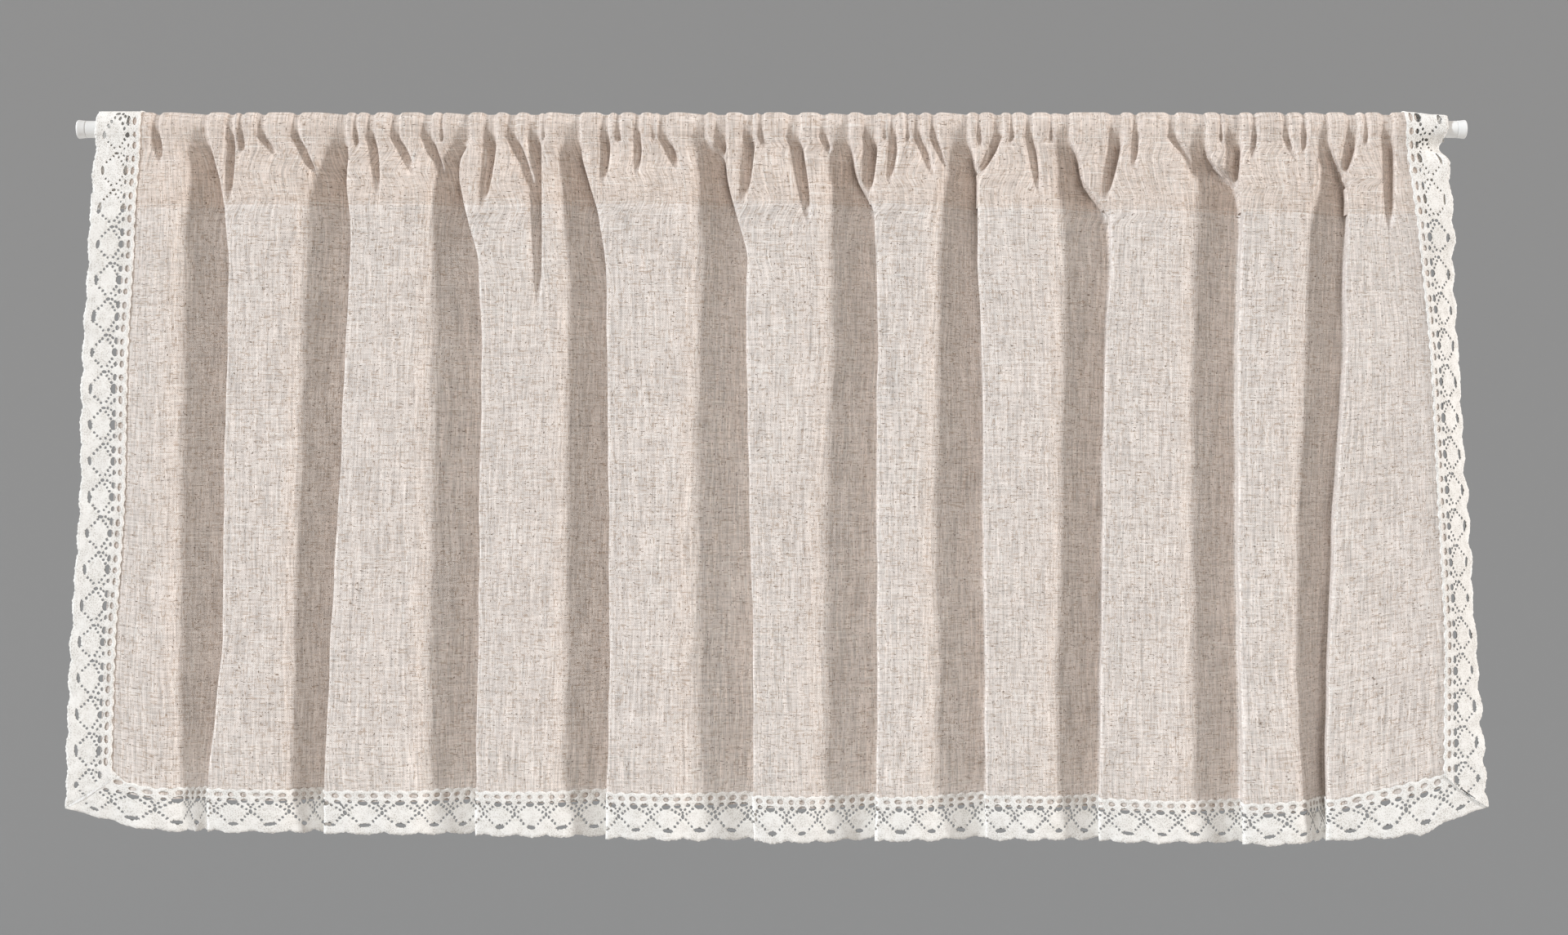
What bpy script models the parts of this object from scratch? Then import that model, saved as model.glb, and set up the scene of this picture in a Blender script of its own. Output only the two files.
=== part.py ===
"""Cafe curtain with cotton lace edging, gathered on a plain tension rod.

The front of the cloth faces -Y, +X runs along the rod and +Z is up. The origin is the
centre of the flat face at the rod's left end. Sizes below are in millimetres.
"""

import math

import bmesh
import bpy
import numpy as np
from mathutils import Vector
from mathutils.geometry import delaunay_2d_cdt

MM = 0.001

# The rod and its end caps
ROD_LENGTH = 1149.0
ROD_RADIUS = 7.0
CAP_LENGTH = 7.0
CAP_NECK_RADIUS = 7.1
CAP_FOOT_RADIUS = 7.7
CAP_FOOT_EDGE = 0.5
CAP_FOOT_LENGTH = 1.6
CAP_NECK_START = 3.0
PIECE_GAP = 0.3
ROUND_SIDES = 32
SHARP_DEGREES = 40.0

# The cloth
LINEN_THICKNESS = 1.0
LACE_THICKNESS = 1.0
LACE_GAP = 0.4
COLUMNS = 158
LACE_COLUMNS = 4
HEM_COLUMNS = 3
REPEAT_COLUMNS = 3
OVERLAP_SHARE = 1.0 - HEM_COLUMNS / LACE_COLUMNS

# Distances down the cloth below the rod's axis
STITCH_DROP = 7.5
BACK_STITCH_DROP = 9.8
BACK_LACE_DROP = 11.2
MID_HEADING_DROP = 36.0
SEAM_DROP = 66.0
INNER_DROP = 545.0
HEM_DROP = 554.5
OUTER_DROP = 583.0
PANEL_DROPS = (433.0, 250.0, 108.0)
REFERENCE_DROP = 312.0

# Depths of the front of the cloth, measured forward of the rod's axis
FRONT_AT_STITCH = 11.4
FRONT_AT_HEADING = 17.0
FRONT_AT_HEM = 18.0
GATHER_DEPTH = 5.4
MAIN_DEPTH = 27.0
PANEL_CROWN = 2.5
FOLD_TURN = 0.93
SLOPE_POWER = 1.1

# The larger folds: their steepest slope, and how far before their left side they turn back
FOLD_STEEPEST = 0.92
FOLD_LEAD = 4.0

# How the gathers fade down the heading, and how far down the folds take to open
GATHER_NARROWING = 0.4
GATHER_FADE = 0.6
FRONT_EASE = 70.0
FOLD_EASE = 70.0
LIMIT_EASE = 40.0

# The cloth's loop round the rod: an angle from the front, upwards, and the share of the
# gathers' height that stands there
LOOP = (
    # angle, share
    (0.0, 1.0),
    (50.0, 1.0),
    (100.0, 0.9),
    (150.0, 0.7),
    (205.0, 0.5),
    (258.0, 0.2),
)
LOOP_RADIUS = 8.9
LOOP_STEP = 8.0

# The levels at which the main folds' sides are given
FOLD_DROPS = (7.0, 72.0, 108.0, 185.0, 312.0, 433.0, 533.0)

# Each main fold: where its soft left side and its sharp right side stand at each level
MAIN_FOLDS = (
    # left sides at the seven levels, right sides at the seven levels
    ((86, 89, 88, 87, 85, 85, 88), (124, 123, 126, 125, 122, 121, 109)),
    ((191, 191, 190, 186, 184, 183, 183), (220, 225, 226, 222, 216, 209, 205)),
    ((295, 297, 295, 291, 289, 287, 287), (325, 320, 331, 334, 332, 331, 329)),
    ((400, 404, 407, 408, 404, 402, 399), (427, 429, 435, 437, 438, 439, 437)),
    ((512, 516, 514, 511, 506, 505, 504), (540, 542, 552, 551, 554, 557, 557)),
    ((624, 623, 624, 622, 614, 613, 614), (656, 656, 658, 659, 658, 659, 658)),
    ((719, 715, 714, 710, 707, 708, 707), (742, 741, 741, 745, 746, 747, 748)),
    ((808, 810, 809, 812, 810, 808, 809), (851, 851, 851, 846, 844, 843, 841)),
    ((917, 919, 919, 919, 918, 918, 920), (957, 959, 957, 955, 955, 957, 959)),
    ((1016, 1014, 1013, 1007, 1004, 1005, 1014), (1046, 1046, 1044, 1044, 1035, 1030, 1028)),
)

# The larger gathers of the heading, each a groove that narrows downwards
GATHERS = (
    # x at the rod, x at the point, drop of the point, width
    (64, 69, 29, 8),
    (85, 106, 54, 9),
    (151, 165, 24, 9),
    (181, 201, 52, 8),
    (242, 249, 61, 8),
    (261, 279, 41, 9),
    (337, 314, 34, 9),
    (358, 382, 155, 10),
    (439, 435, 61, 12),
    (483, 496, 39, 9),
    (530, 530, 41, 9),
    (553, 550, 62, 9),
    (589, 603, 91, 10),
    (634, 632, 57, 13),
    (674, 668, 57, 9),
    (695, 707, 41, 8),
    (729, 729, 41, 12),
    (760, 741, 41, 9),
    (786, 791, 69, 9),
    (811, 819, 54, 17),
    (871, 869, 34, 8),
    (905, 928, 49, 16),
    (974, 967, 27, 9),
    (995, 1007, 25, 8),
    (1028, 1030, 41, 9),
    (1079, 1078, 84, 12),
)

# The side edges at the seven levels: the left strip's outer edge, the right strip's inner
# edge, and how far the right strip reaches sideways as it turns away to the back
LEFT_OUTER = (17, 14, 13, 8, 6, -2, -5)
RIGHT_INNER = (1096, 1104, 1108, 1115, 1121, 1127, 1126)
RIGHT_REACH = (38, 35.4, 33, 30.3, 31.7, 32.4, 37.6)

# Lines across the curtain
SEAM_LINE = ((55, 67), (129, 64), (665, 63), (746, 66), (913, 69), (1074, 72))
INNER_LINE = ((33, 536), (70, 543), (205, 545), (405, 546), (640, 551), (772, 549),
              (973, 556), (1040, 552), (1126, 532))
OUTER_LINE = ((-6, 559), (35, 572), (69, 579), (344, 583), (585, 589), (772, 586),
              (987, 591), (1107, 583), (1141, 567), (1164, 559))

# The lace's open holes, at a distance from its inner edge and with a length along it
LACE_WIDTH = 38.0
SIDE_REPEATS = 18
EYE_HOLE = (15.0, 8.4, 5.4)
HALF_HOLE = (14.5, 6.2, 4.4)
TIP_HOLE = (31.0, 8.4, 4.4)
MITRE_GAP = 0.8

LINEN_COLOUR = (0.70, 0.63, 0.55, 1.0)
LACE_COLOUR = (0.86, 0.83, 0.78, 1.0)
ROD_COLOUR = (0.82, 0.82, 0.81, 1.0)
CAP_COLOUR = (0.80, 0.80, 0.79, 1.0)


def smooth(value):
    """Ease a share from 0 to 1, flat at both ends."""
    share = np.clip(value, 0.0, 1.0)
    return share * share * (3.0 - 2.0 * share)


def at_level(row, drop):
    """Read a row of values given at the seven levels."""
    return float(np.interp(drop, FOLD_DROPS, row))


def along(line, x):
    """Read a line across the curtain at x."""
    places, drops = zip(*line)
    return np.interp(x, places, drops)


def fold_shape(share):
    """A main fold's depth across its width: a slope back and a steep return."""
    slope = np.clip(share / FOLD_TURN, 0.0, 1.0) ** SLOPE_POWER
    back = np.clip((1.0 - share) / (1.0 - FOLD_TURN), 0.0, 1.0)
    return np.where(share <= FOLD_TURN, slope, back)


def gather_depths(x, drop):
    """The depth of all the heading's gathers at one level."""
    total = np.zeros_like(x)
    for top_x, low_x, low_drop, width in GATHERS:
        share = max(0.0, drop - STITCH_DROP) / (low_drop - STITCH_DROP)
        if share >= 1.0:
            continue
        middle = top_x + (low_x - top_x) * share
        spread = 0.5 * width * (1.0 - GATHER_NARROWING * share)
        height = GATHER_DEPTH * (1.0 - share) ** GATHER_FADE
        total = np.maximum(total, height * np.exp(-(((x - middle) / spread) ** 2)))
    return total


def profile(drop):
    """The cloth's line at one level: x and y along it, and the knots' lengths along it."""
    left = at_level(LEFT_OUTER, drop)
    right = at_level(RIGHT_INNER, drop)
    x = np.linspace(left, right, int(right - left) * 2 + 1)
    heading = smooth((drop - STITCH_DROP) / FRONT_EASE)
    front = FRONT_AT_STITCH + (FRONT_AT_HEADING - FRONT_AT_STITCH) * heading
    front += (FRONT_AT_HEM - FRONT_AT_HEADING) * drop / OUTER_DROP
    opened = smooth((drop - STITCH_DROP) / FOLD_EASE)
    depth = GATHER_DEPTH + (MAIN_DEPTH - GATHER_DEPTH) * opened
    fold = np.zeros_like(x)
    crown = np.zeros_like(x)
    knots = [left, left + LACE_WIDTH]
    for lefts, rights in MAIN_FOLDS:
        start, end = at_level(lefts, drop), at_level(rights, drop)
        panel = (x - knots[-1]) / (start - knots[-1])
        inside = (panel > 0.0) & (panel < 1.0)
        crown[inside] = PANEL_CROWN * np.sin(math.pi * panel[inside])
        share = (x - start + FOLD_LEAD) / (end - start + FOLD_LEAD)
        inside = (share > 0.0) & (share < 1.0)
        deepest = min(depth, FOLD_STEEPEST * (end - start))
        fold[inside] = deepest * fold_shape(share[inside])
        knots += [start, end]
    knots.append(right)
    limit = GATHER_DEPTH + MAIN_DEPTH * smooth((drop - STITCH_DROP) / LIMIT_EASE)
    fold = np.minimum(np.maximum(fold, gather_depths(x, drop)), limit)
    y = -front - crown * heading + fold
    lap = LACE_WIDTH * OVERLAP_SHARE
    free = LACE_WIDTH - lap
    reach = at_level(RIGHT_REACH, drop) - lap
    turn = math.sqrt(free**2 - reach**2)
    strip = np.linspace(0.0, 1.0, 30)
    x = np.concatenate([x, right + lap + reach * strip])
    y = np.concatenate([y, y[-1] + turn * strip])
    length = np.concatenate([[0.0], np.cumsum(np.hypot(np.diff(x), np.diff(y)))])
    return x, y, length, np.append(np.interp(knots, x, length), length[-1])


KNOTS = profile(REFERENCE_DROP)[3]
FLAT_WIDTH = KNOTS[-1]
PITCH = FLAT_WIDTH / COLUMNS
FLAT = np.linspace(0.0, FLAT_WIDTH, COLUMNS + 1)


def height_at(x, drop):
    """The level of a point of the cloth, which follows the seam's and the hem's lines."""
    inner = along(INNER_LINE, x)
    if drop > INNER_DROP:
        share = (drop - INNER_DROP) / (OUTER_DROP - INNER_DROP)
        return -(inner + (along(OUTER_LINE, x) - inner) * share)
    seam = along(SEAM_LINE, x)
    if drop > SEAM_DROP:
        share = (drop - SEAM_DROP) / (INNER_DROP - SEAM_DROP)
        return -(seam + (inner - seam) * share)
    share = (drop - STITCH_DROP) / (SEAM_DROP - STITCH_DROP)
    return -(STITCH_DROP + (seam - STITCH_DROP) * share)


def front_row(drop):
    """The middle of the cloth at every column, at one distance down it."""
    x, y, length, knots = profile(drop)
    places = np.interp(FLAT, KNOTS, knots)
    row_x = np.interp(places, length, x)
    row_y = np.interp(places, length, y)
    return np.stack([row_x, row_y, height_at(row_x, drop)], axis=1)


def loop_rows(stitch_row):
    """The middle of the cloth round the rod, a row for each station of the loop."""
    gather = np.maximum(-stitch_row[:, 1] - (FRONT_AT_STITCH - GATHER_DEPTH), 0.0)
    rows = []
    for angle, share in LOOP:
        radius = LOOP_RADIUS + share * gather
        turn = math.radians(angle)
        rows.append(np.stack([stitch_row[:, 0], -radius * math.cos(turn),
                              radius * math.sin(turn)], axis=1))
    return rows


def outward(rows):
    """Each row's unit normals, away from the rod and to the front."""
    grid = np.stack(rows)
    across = np.gradient(grid, axis=1)
    upward = np.gradient(grid, axis=0)
    normal = np.cross(across, upward)
    return normal / np.linalg.norm(normal, axis=2, keepdims=True)


class Cloth:
    """The curtain's middle surface at the rows that the solids share."""

    def __init__(self):
        self.drops = (OUTER_DROP, HEM_DROP, INNER_DROP, *PANEL_DROPS, SEAM_DROP,
                      MID_HEADING_DROP, STITCH_DROP)
        self.front = [front_row(drop) for drop in self.drops]
        self.loop = loop_rows(self.front[-1])
        normals = outward(self.front + self.loop)
        self.front_normals = normals[: len(self.front)]
        self.loop_normals = normals[len(self.front) :]
        self.back = {drop: front_row(drop) for drop in (BACK_STITCH_DROP, BACK_LACE_DROP)}

    def front_at(self, drop, lift):
        """A front row moved along its normals; a negative lift is behind the cloth."""
        if drop in self.back:
            return self.back[drop] + lift * self.front_normals[-1]
        index = self.drops.index(drop)
        return self.front[index] + lift * self.front_normals[index]

    def loop_at(self, index, lift):
        """A row round the rod moved away from the rod."""
        return self.loop[index] + lift * self.loop_normals[index]


def material(name, colour, roughness, metallic=0.0):
    """A plain material with one colour."""
    made = bpy.data.materials.new(name)
    made.use_nodes = True
    shader = made.node_tree.nodes["Principled BSDF"]
    shader.inputs["Base Color"].default_value = colour
    shader.inputs["Roughness"].default_value = roughness
    shader.inputs["Metallic"].default_value = metallic
    return made


def add_object(name, mesh, finish, collection):
    """Link a mesh as one named object of the curtain."""
    made = bpy.data.objects.new(name, mesh)
    made.data.materials.append(finish)
    collection.objects.link(made)
    return made


def mesh_from(name, points, faces):
    """A mesh in metres from points in millimetres."""
    mesh = bpy.data.meshes.new(name)
    mesh.from_pydata([tuple(point * MM) for point in points], [], faces)
    mesh.update()
    return mesh


def make_linen(cloth, finish, collection):
    """The linen panel: up the front, round the rod and down behind the heading."""
    half = 0.5 * LINEN_THICKNESS
    behind = -half - LINEN_THICKNESS
    single = (HEM_DROP, INNER_DROP, *PANEL_DROPS, SEAM_DROP)
    outer = [cloth.front_at(drop, half) for drop in (*single, MID_HEADING_DROP, STITCH_DROP)]
    stitch = len(outer) - 1
    outer += [cloth.loop_at(index, half) for index in range(len(LOOP))]
    back = len(outer)
    outer += [cloth.front_at(drop, behind)
              for drop in (BACK_STITCH_DROP, MID_HEADING_DROP, SEAM_DROP)]
    outer += [cloth.front_at(drop, -half) for drop in reversed(single)]
    tunnel = [cloth.front_at(STITCH_DROP, -half)]
    tunnel += [cloth.loop_at(index, -half) for index in range(len(LOOP))]

    first, last = HEM_COLUMNS, COLUMNS - HEM_COLUMNS
    rows = [row[first : last + 1] for row in outer + tunnel]
    width = last - first + 1
    points = np.concatenate(rows)

    def at(row, column):
        return row * width + column

    faces = []
    rings = ((0, len(outer), False), (len(outer), len(tunnel), True))
    for start, count, inside in rings:
        for step in range(count):
            low, high = start + step, start + (step + 1) % count
            for column in range(width - 1):
                face = (at(low, column), at(low, column + 1), at(high, column + 1),
                        at(high, column))
                faces.append(face[::-1] if inside else face)

    crotch = len(outer)
    panels = [(step, step + 1, len(outer) - 2 - step, len(outer) - 1 - step)
              for step in range(len(single) - 1)]
    seam = len(single) - 1
    panels.append((seam, seam + 1, stitch, crotch, back, back + 1, back + 2, back + 3))
    panels.append((stitch, stitch + 1, crotch + 1, crotch))
    panels += [(stitch + step, stitch + step + 1, crotch + step + 1, crotch + step)
               for step in range(1, len(LOOP))]
    panels.append((back - 1, back, crotch, crotch + len(LOOP)))
    for panel in panels:
        faces.append(tuple(at(row, 0) for row in panel))
        faces.append(tuple(at(row, width - 1) for row in reversed(panel)))
    return add_object("linen_panel", mesh_from("linen_panel", points, faces), finish, collection)


class LaceStrip:
    """A length of lace cut from a flat outline and laid on the cloth."""

    def __init__(self, name, stations, rows_at):
        self.name = name
        self.stations = stations
        self.rows_at = rows_at
        self.points = []
        self.edges = []
        self.holes = []

    def loop(self, corners):
        """Add a closed line to the flat drawing."""
        start = len(self.points)
        self.points += [Vector(corner) for corner in corners]
        count = len(corners)
        self.edges += [(start + step, start + (step + 1) % count) for step in range(count)]

    def line(self, start, end):
        """Add a straight crease to the flat drawing."""
        self.edges.append((len(self.points), len(self.points) + 1))
        self.points += [Vector(start), Vector(end)]

    def hole(self, across, down, wide, high):
        """Cut a diamond hole round a point."""
        self.holes.append((across, down, 0.5 * wide, 0.5 * high))
        self.loop(((across - 0.5 * wide, down), (across, down - 0.5 * high),
                   (across + 0.5 * wide, down), (across, down + 0.5 * high)))

    def in_hole(self, point):
        """Tell whether a point of the drawing lies in a hole."""
        return any(abs(point.x - across) / wide + abs(point.y - down) / high < 0.999
                   for across, down, wide, high in self.holes)

    def place(self, point, lift):
        """Lay a point of the drawing on the cloth."""
        rows = self.rows_at(lift)
        row = int(np.clip(np.searchsorted(self.stations, point.y) - 1, 0,
                          len(self.stations) - 2))
        span = self.stations[row + 1] - self.stations[row]
        share = (point.y - self.stations[row]) / span
        column = int(np.clip(point.x / PITCH, 0, COLUMNS - 1))
        part = point.x / PITCH - column
        low = rows[row][column] * (1.0 - part) + rows[row][column + 1] * part
        high = rows[row + 1][column] * (1.0 - part) + rows[row + 1][column + 1] * part
        return low * (1.0 - share) + high * share

    def make(self, finish, collection):
        """Triangulate the drawing, thicken it and link the strip."""
        points, _, triangles, _, _, _ = delaunay_2d_cdt(self.points, self.edges, [], 1, 1e-3)
        kept = [face for face in triangles
                if not self.in_hole(sum((points[index] for index in face), Vector((0, 0))) / 3)]
        used = sorted({index for face in kept for index in face})
        new = {old: index for index, old in enumerate(used)}
        kept = [tuple(new[index] for index in face) for face in kept]
        half = 0.5 * LACE_THICKNESS
        solid = [self.place(points[old], half) for old in used]
        solid += [self.place(points[old], -half) for old in used]
        count = len(used)
        ends = {(face[step], face[(step + 1) % 3]) for face in kept for step in range(3)}
        faces = list(kept)
        faces += [tuple(index + count for index in reversed(face)) for face in kept]
        faces += [(start, start + count, end + count, end)
                  for start, end in sorted(ends) if (end, start) not in ends]
        mesh = mesh_from(self.name, np.array(solid), faces)
        tidy = bmesh.new()
        tidy.from_mesh(mesh)
        bmesh.ops.recalc_face_normals(tidy, faces=tidy.faces)
        tidy.to_mesh(mesh)
        tidy.free()
        return add_object(self.name, mesh, finish, collection)


def lace_lift():
    """How far the middle of the lace stands in front of the middle of the linen."""
    return 0.5 * LINEN_THICKNESS + LACE_GAP + 0.5 * LACE_THICKNESS


def make_bottom_lace(cloth, finish, collection):
    """The strip along the hem, mitred at both corners."""
    drops = (INNER_DROP, HEM_DROP, OUTER_DROP)

    def rows_at(lift):
        return [cloth.front_at(drop, lace_lift() + lift) for drop in drops]

    strip = LaceStrip("lace_bottom", drops, rows_at)
    first, last = LACE_COLUMNS * PITCH, (COLUMNS - LACE_COLUMNS) * PITCH
    strip.loop(((first, INNER_DROP), (last, INNER_DROP), (FLAT_WIDTH, OUTER_DROP),
                (0.0, OUTER_DROP)))
    depth = OUTER_DROP - INNER_DROP
    for column in range(1, COLUMNS):
        across = column * PITCH
        inset = max(0.0, first - across, across - last) * depth / first
        strip.line((across, INNER_DROP + inset), (across, OUTER_DROP))
    repeats = (COLUMNS - 2 * LACE_COLUMNS) // REPEAT_COLUMNS
    for repeat in range(repeats):
        start = first + repeat * REPEAT_COLUMNS * PITCH
        middle = start + 0.5 * REPEAT_COLUMNS * PITCH
        for from_inner, wide, high in (HALF_HOLE, TIP_HOLE):
            strip.hole(middle, INNER_DROP + from_inner, wide, high)
        if repeat:
            strip.hole(start, INNER_DROP + EYE_HOLE[0], *EYE_HOLE[1:])
    return strip.make(finish, collection)


def make_side_lace(cloth, name, left, finish, collection):
    """A side strip: up the front, over the rod and down to the heading's seam behind."""
    front_drops = cloth.drops
    back_lift = -(1.5 * LINEN_THICKNESS + LACE_GAP + 0.5 * LACE_THICKNESS)
    back_drops = (BACK_LACE_DROP, MID_HEADING_DROP, SEAM_DROP)
    stations = [-drop for drop in front_drops]
    stations += [-STITCH_DROP + LOOP_STEP * (step + 1) for step in range(len(LOOP))]
    behind = stations[-1] + LOOP_STEP
    stations += [behind + drop - BACK_LACE_DROP for drop in back_drops]

    def rows_at(lift):
        rows = [cloth.front_at(drop, lace_lift() + lift) for drop in front_drops]
        rows += [cloth.loop_at(index, lace_lift() + lift) for index in range(len(LOOP))]
        rows += [cloth.front_at(drop, back_lift - lift) for drop in back_drops]
        return rows

    def across(columns):
        return columns * PITCH if left else FLAT_WIDTH - columns * PITCH

    strip = LaceStrip(name, stations, rows_at)
    top = stations[-1]
    low_inner, low_outer = -INNER_DROP + MITRE_GAP, -OUTER_DROP + MITRE_GAP
    strip.loop(((across(0), low_outer), (across(LACE_COLUMNS), low_inner),
                (across(LACE_COLUMNS), top), (across(0), top)))
    mitre = low_inner - low_outer
    for column in range(1, LACE_COLUMNS):
        low = low_outer + mitre * column / LACE_COLUMNS
        strip.line((across(column), low), (across(column), top))
    for station in stations[2:-1]:
        strip.line((across(0), station), (across(LACE_COLUMNS), station))
    strip.line((across(0), -HEM_DROP),
               (across(LACE_COLUMNS * (-HEM_DROP - low_outer) / mitre), -HEM_DROP))
    length = (INNER_DROP - STITCH_DROP) / SIDE_REPEATS
    scale = LACE_COLUMNS / LACE_WIDTH
    for repeat in range(SIDE_REPEATS):
        start = -INNER_DROP + repeat * length
        for from_inner, long, high in (HALF_HOLE, TIP_HOLE):
            place = across(LACE_COLUMNS - from_inner * scale)
            strip.hole(place, start + 0.5 * length, high, long)
        if repeat:
            strip.hole(across(LACE_COLUMNS - EYE_HOLE[0] * scale), start, EYE_HOLE[2],
                       EYE_HOLE[1])
    return strip.make(finish, collection)


def make_rod(finish, collection):
    """The plain round rod between the two caps."""
    length = ROD_LENGTH - 2.0 * (CAP_LENGTH + PIECE_GAP)
    bpy.ops.mesh.primitive_cylinder_add(
        vertices=ROUND_SIDES, radius=ROD_RADIUS * MM, depth=length * MM,
        location=(0.5 * ROD_LENGTH * MM, 0.0, 0.0), rotation=(0.0, 0.5 * math.pi, 0.0))
    rod = bpy.context.object
    rod.name = "rod"
    rod.data.name = "rod"
    return settle(rod, finish, collection)


def make_cap(name, left, finish, collection):
    """A turned end cap, wider at its foot."""
    outline = ((0.0, 0.0), (CAP_FOOT_RADIUS - CAP_FOOT_EDGE, 0.0),
               (CAP_FOOT_RADIUS, CAP_FOOT_EDGE), (CAP_FOOT_RADIUS, CAP_FOOT_LENGTH),
               (CAP_NECK_RADIUS, CAP_NECK_START), (CAP_NECK_RADIUS, CAP_LENGTH),
               (0.0, CAP_LENGTH))
    mesh = bpy.data.meshes.new(name)
    lines = [(step, step + 1) for step in range(len(outline) - 1)]
    mesh.from_pydata([(radius * MM, 0.0, -height * MM) for radius, height in outline], lines, [])
    cap = bpy.data.objects.new(name, mesh)
    turn = cap.modifiers.new("turn", "SCREW")
    turn.steps = turn.render_steps = ROUND_SIDES
    turn.use_merge_vertices = True
    turn.merge_threshold = 0.00001
    turn.use_smooth_shade = False
    cap.location = (0.0 if left else ROD_LENGTH * MM, 0.0, 0.0)
    cap.rotation_euler = (0.0, -0.5 * math.pi if left else 0.5 * math.pi, 0.0)
    return settle(cap, finish, collection)


def settle(made, finish, collection):
    """Move an object to the curtain's collection and dress it."""
    for other in list(made.users_collection):
        other.objects.unlink(made)
    collection.objects.link(made)
    made.data.materials.append(finish)
    if made.data.polygons:
        made.data.shade_smooth()
        made.data.set_sharp_from_angle(angle=math.radians(SHARP_DEGREES))
    return made


def main():
    """Clear the scene and build the curtain."""
    for old in list(bpy.data.objects):
        bpy.data.objects.remove(old)
    collection = bpy.data.collections.new("cafe_curtain")
    bpy.context.scene.collection.children.link(collection)
    linen = material("linen", LINEN_COLOUR, 0.9)
    lace = material("lace", LACE_COLOUR, 0.9)
    paint = material("rod_paint", ROD_COLOUR, 0.35)
    plastic = material("cap_plastic", CAP_COLOUR, 0.45)
    make_rod(paint, collection)
    make_cap("rod_cap_left", True, plastic, collection)
    make_cap("rod_cap_right", False, plastic, collection)
    cloth = Cloth()
    make_linen(cloth, linen, collection)
    make_bottom_lace(cloth, lace, collection)
    make_side_lace(cloth, "lace_left", True, lace, collection)
    make_side_lace(cloth, "lace_right", False, lace, collection)


main()
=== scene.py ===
"""Cafe curtain with cotton lace edging, gathered on a plain white rod.

The front of the cloth faces -Y, +X runs along the rod and +Z is up. Sizes are in
millimetres, and meshes are made in metres.
"""

import logging
import math
from collections.abc import Callable
from dataclasses import dataclass, field
from enum import Enum

import bpy
import numpy as np
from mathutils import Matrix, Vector
from mathutils.geometry import delaunay_2d_cdt

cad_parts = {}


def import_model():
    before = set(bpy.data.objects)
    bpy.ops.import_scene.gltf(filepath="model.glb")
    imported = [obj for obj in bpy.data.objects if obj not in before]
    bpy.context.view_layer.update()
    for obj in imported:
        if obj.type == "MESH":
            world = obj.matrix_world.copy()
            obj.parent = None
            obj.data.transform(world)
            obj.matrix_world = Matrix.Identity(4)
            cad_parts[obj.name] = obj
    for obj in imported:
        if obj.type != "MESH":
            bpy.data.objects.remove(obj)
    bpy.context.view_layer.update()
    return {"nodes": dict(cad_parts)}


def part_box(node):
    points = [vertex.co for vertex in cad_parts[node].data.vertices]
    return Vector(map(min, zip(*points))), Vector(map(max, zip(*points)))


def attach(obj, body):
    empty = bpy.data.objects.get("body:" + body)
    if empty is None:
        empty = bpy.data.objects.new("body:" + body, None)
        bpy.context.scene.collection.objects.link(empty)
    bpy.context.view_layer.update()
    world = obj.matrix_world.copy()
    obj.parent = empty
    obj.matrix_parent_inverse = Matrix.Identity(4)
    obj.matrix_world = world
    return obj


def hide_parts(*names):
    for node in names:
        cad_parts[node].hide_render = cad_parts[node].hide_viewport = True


LOG = logging.getLogger("cafe_curtain")
MM = 0.001
BODY = "root"
Array = np.ndarray
Material = bpy.types.Material
Socket = bpy.types.NodeSocket
Colour = tuple[float, float, float, float]
Triple = tuple[float, float, float]
Numbers = tuple[float, ...]
Face = tuple[int, ...]

# The level of the stitches under the rod, below the rod's axis
STITCH_DROP = 7.5

# The levels below the rod's axis at which the main folds' sides are given
FOLD_DROPS = (7.0, 72.0, 108.0, 185.0, 312.0, 433.0, 533.0)

# The larger folds: the soft left side and the sharp right side at each level
MAIN_FOLDS = (
    # left sides at the seven levels, right sides at the seven levels
    ((86, 89, 88, 87, 85, 85, 88), (124, 123, 126, 125, 122, 121, 109)),
    ((191, 191, 190, 186, 184, 183, 183), (220, 225, 226, 222, 216, 209, 205)),
    ((295, 297, 295, 291, 289, 287, 287), (325, 320, 331, 334, 332, 331, 329)),
    ((400, 404, 407, 408, 404, 402, 399), (427, 429, 435, 437, 438, 439, 437)),
    ((512, 516, 514, 511, 506, 505, 504), (540, 542, 552, 551, 554, 557, 557)),
    ((624, 623, 624, 622, 614, 613, 614), (656, 656, 658, 659, 658, 659, 658)),
    ((719, 715, 714, 710, 707, 708, 707), (742, 741, 741, 745, 746, 747, 748)),
    ((808, 810, 809, 812, 810, 808, 809), (851, 851, 851, 846, 844, 843, 841)),
    ((917, 919, 919, 919, 918, 918, 920), (957, 959, 957, 955, 955, 957, 959)),
    ((1016, 1014, 1013, 1007, 1004, 1005, 1014), (1046, 1046, 1044, 1044, 1035, 1030, 1028)),
)

# The share of each larger fold's width over which its soft side curves in
SOFT_SIDES = (0.2, 0.15, 0.15, 0.2, 0.1, 0.12, 0.12, 0.18, 0.15, 0.3)

# The larger folds above the seam, where they are narrower: both sides at three levels
HEAD_DROPS = (12.0, 25.0, 45.0)
FOLD_HEADS = (
    # left sides at the three levels, right sides at the three levels
    ((86, 92, 94), (109, 112, 118)),
    ((206, 205, 195), (223, 223, 222)),
    ((309, 306, 297), (325, 315, 314)),
    ((400, 397, 401), (416, 415, 421)),
    ((506, 511, 516), (519, 534, 535)),
    ((622, 621, 623), (638, 639, 643)),
    ((721, 721, 716), (736, 739, 742)),
    ((806, 810, 810), (820, 826, 828)),
    ((920, 914, 921), (932, 931, 957)),
    ((1026, 1026, 1023), (1033, 1037, 1047)),
)

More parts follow.
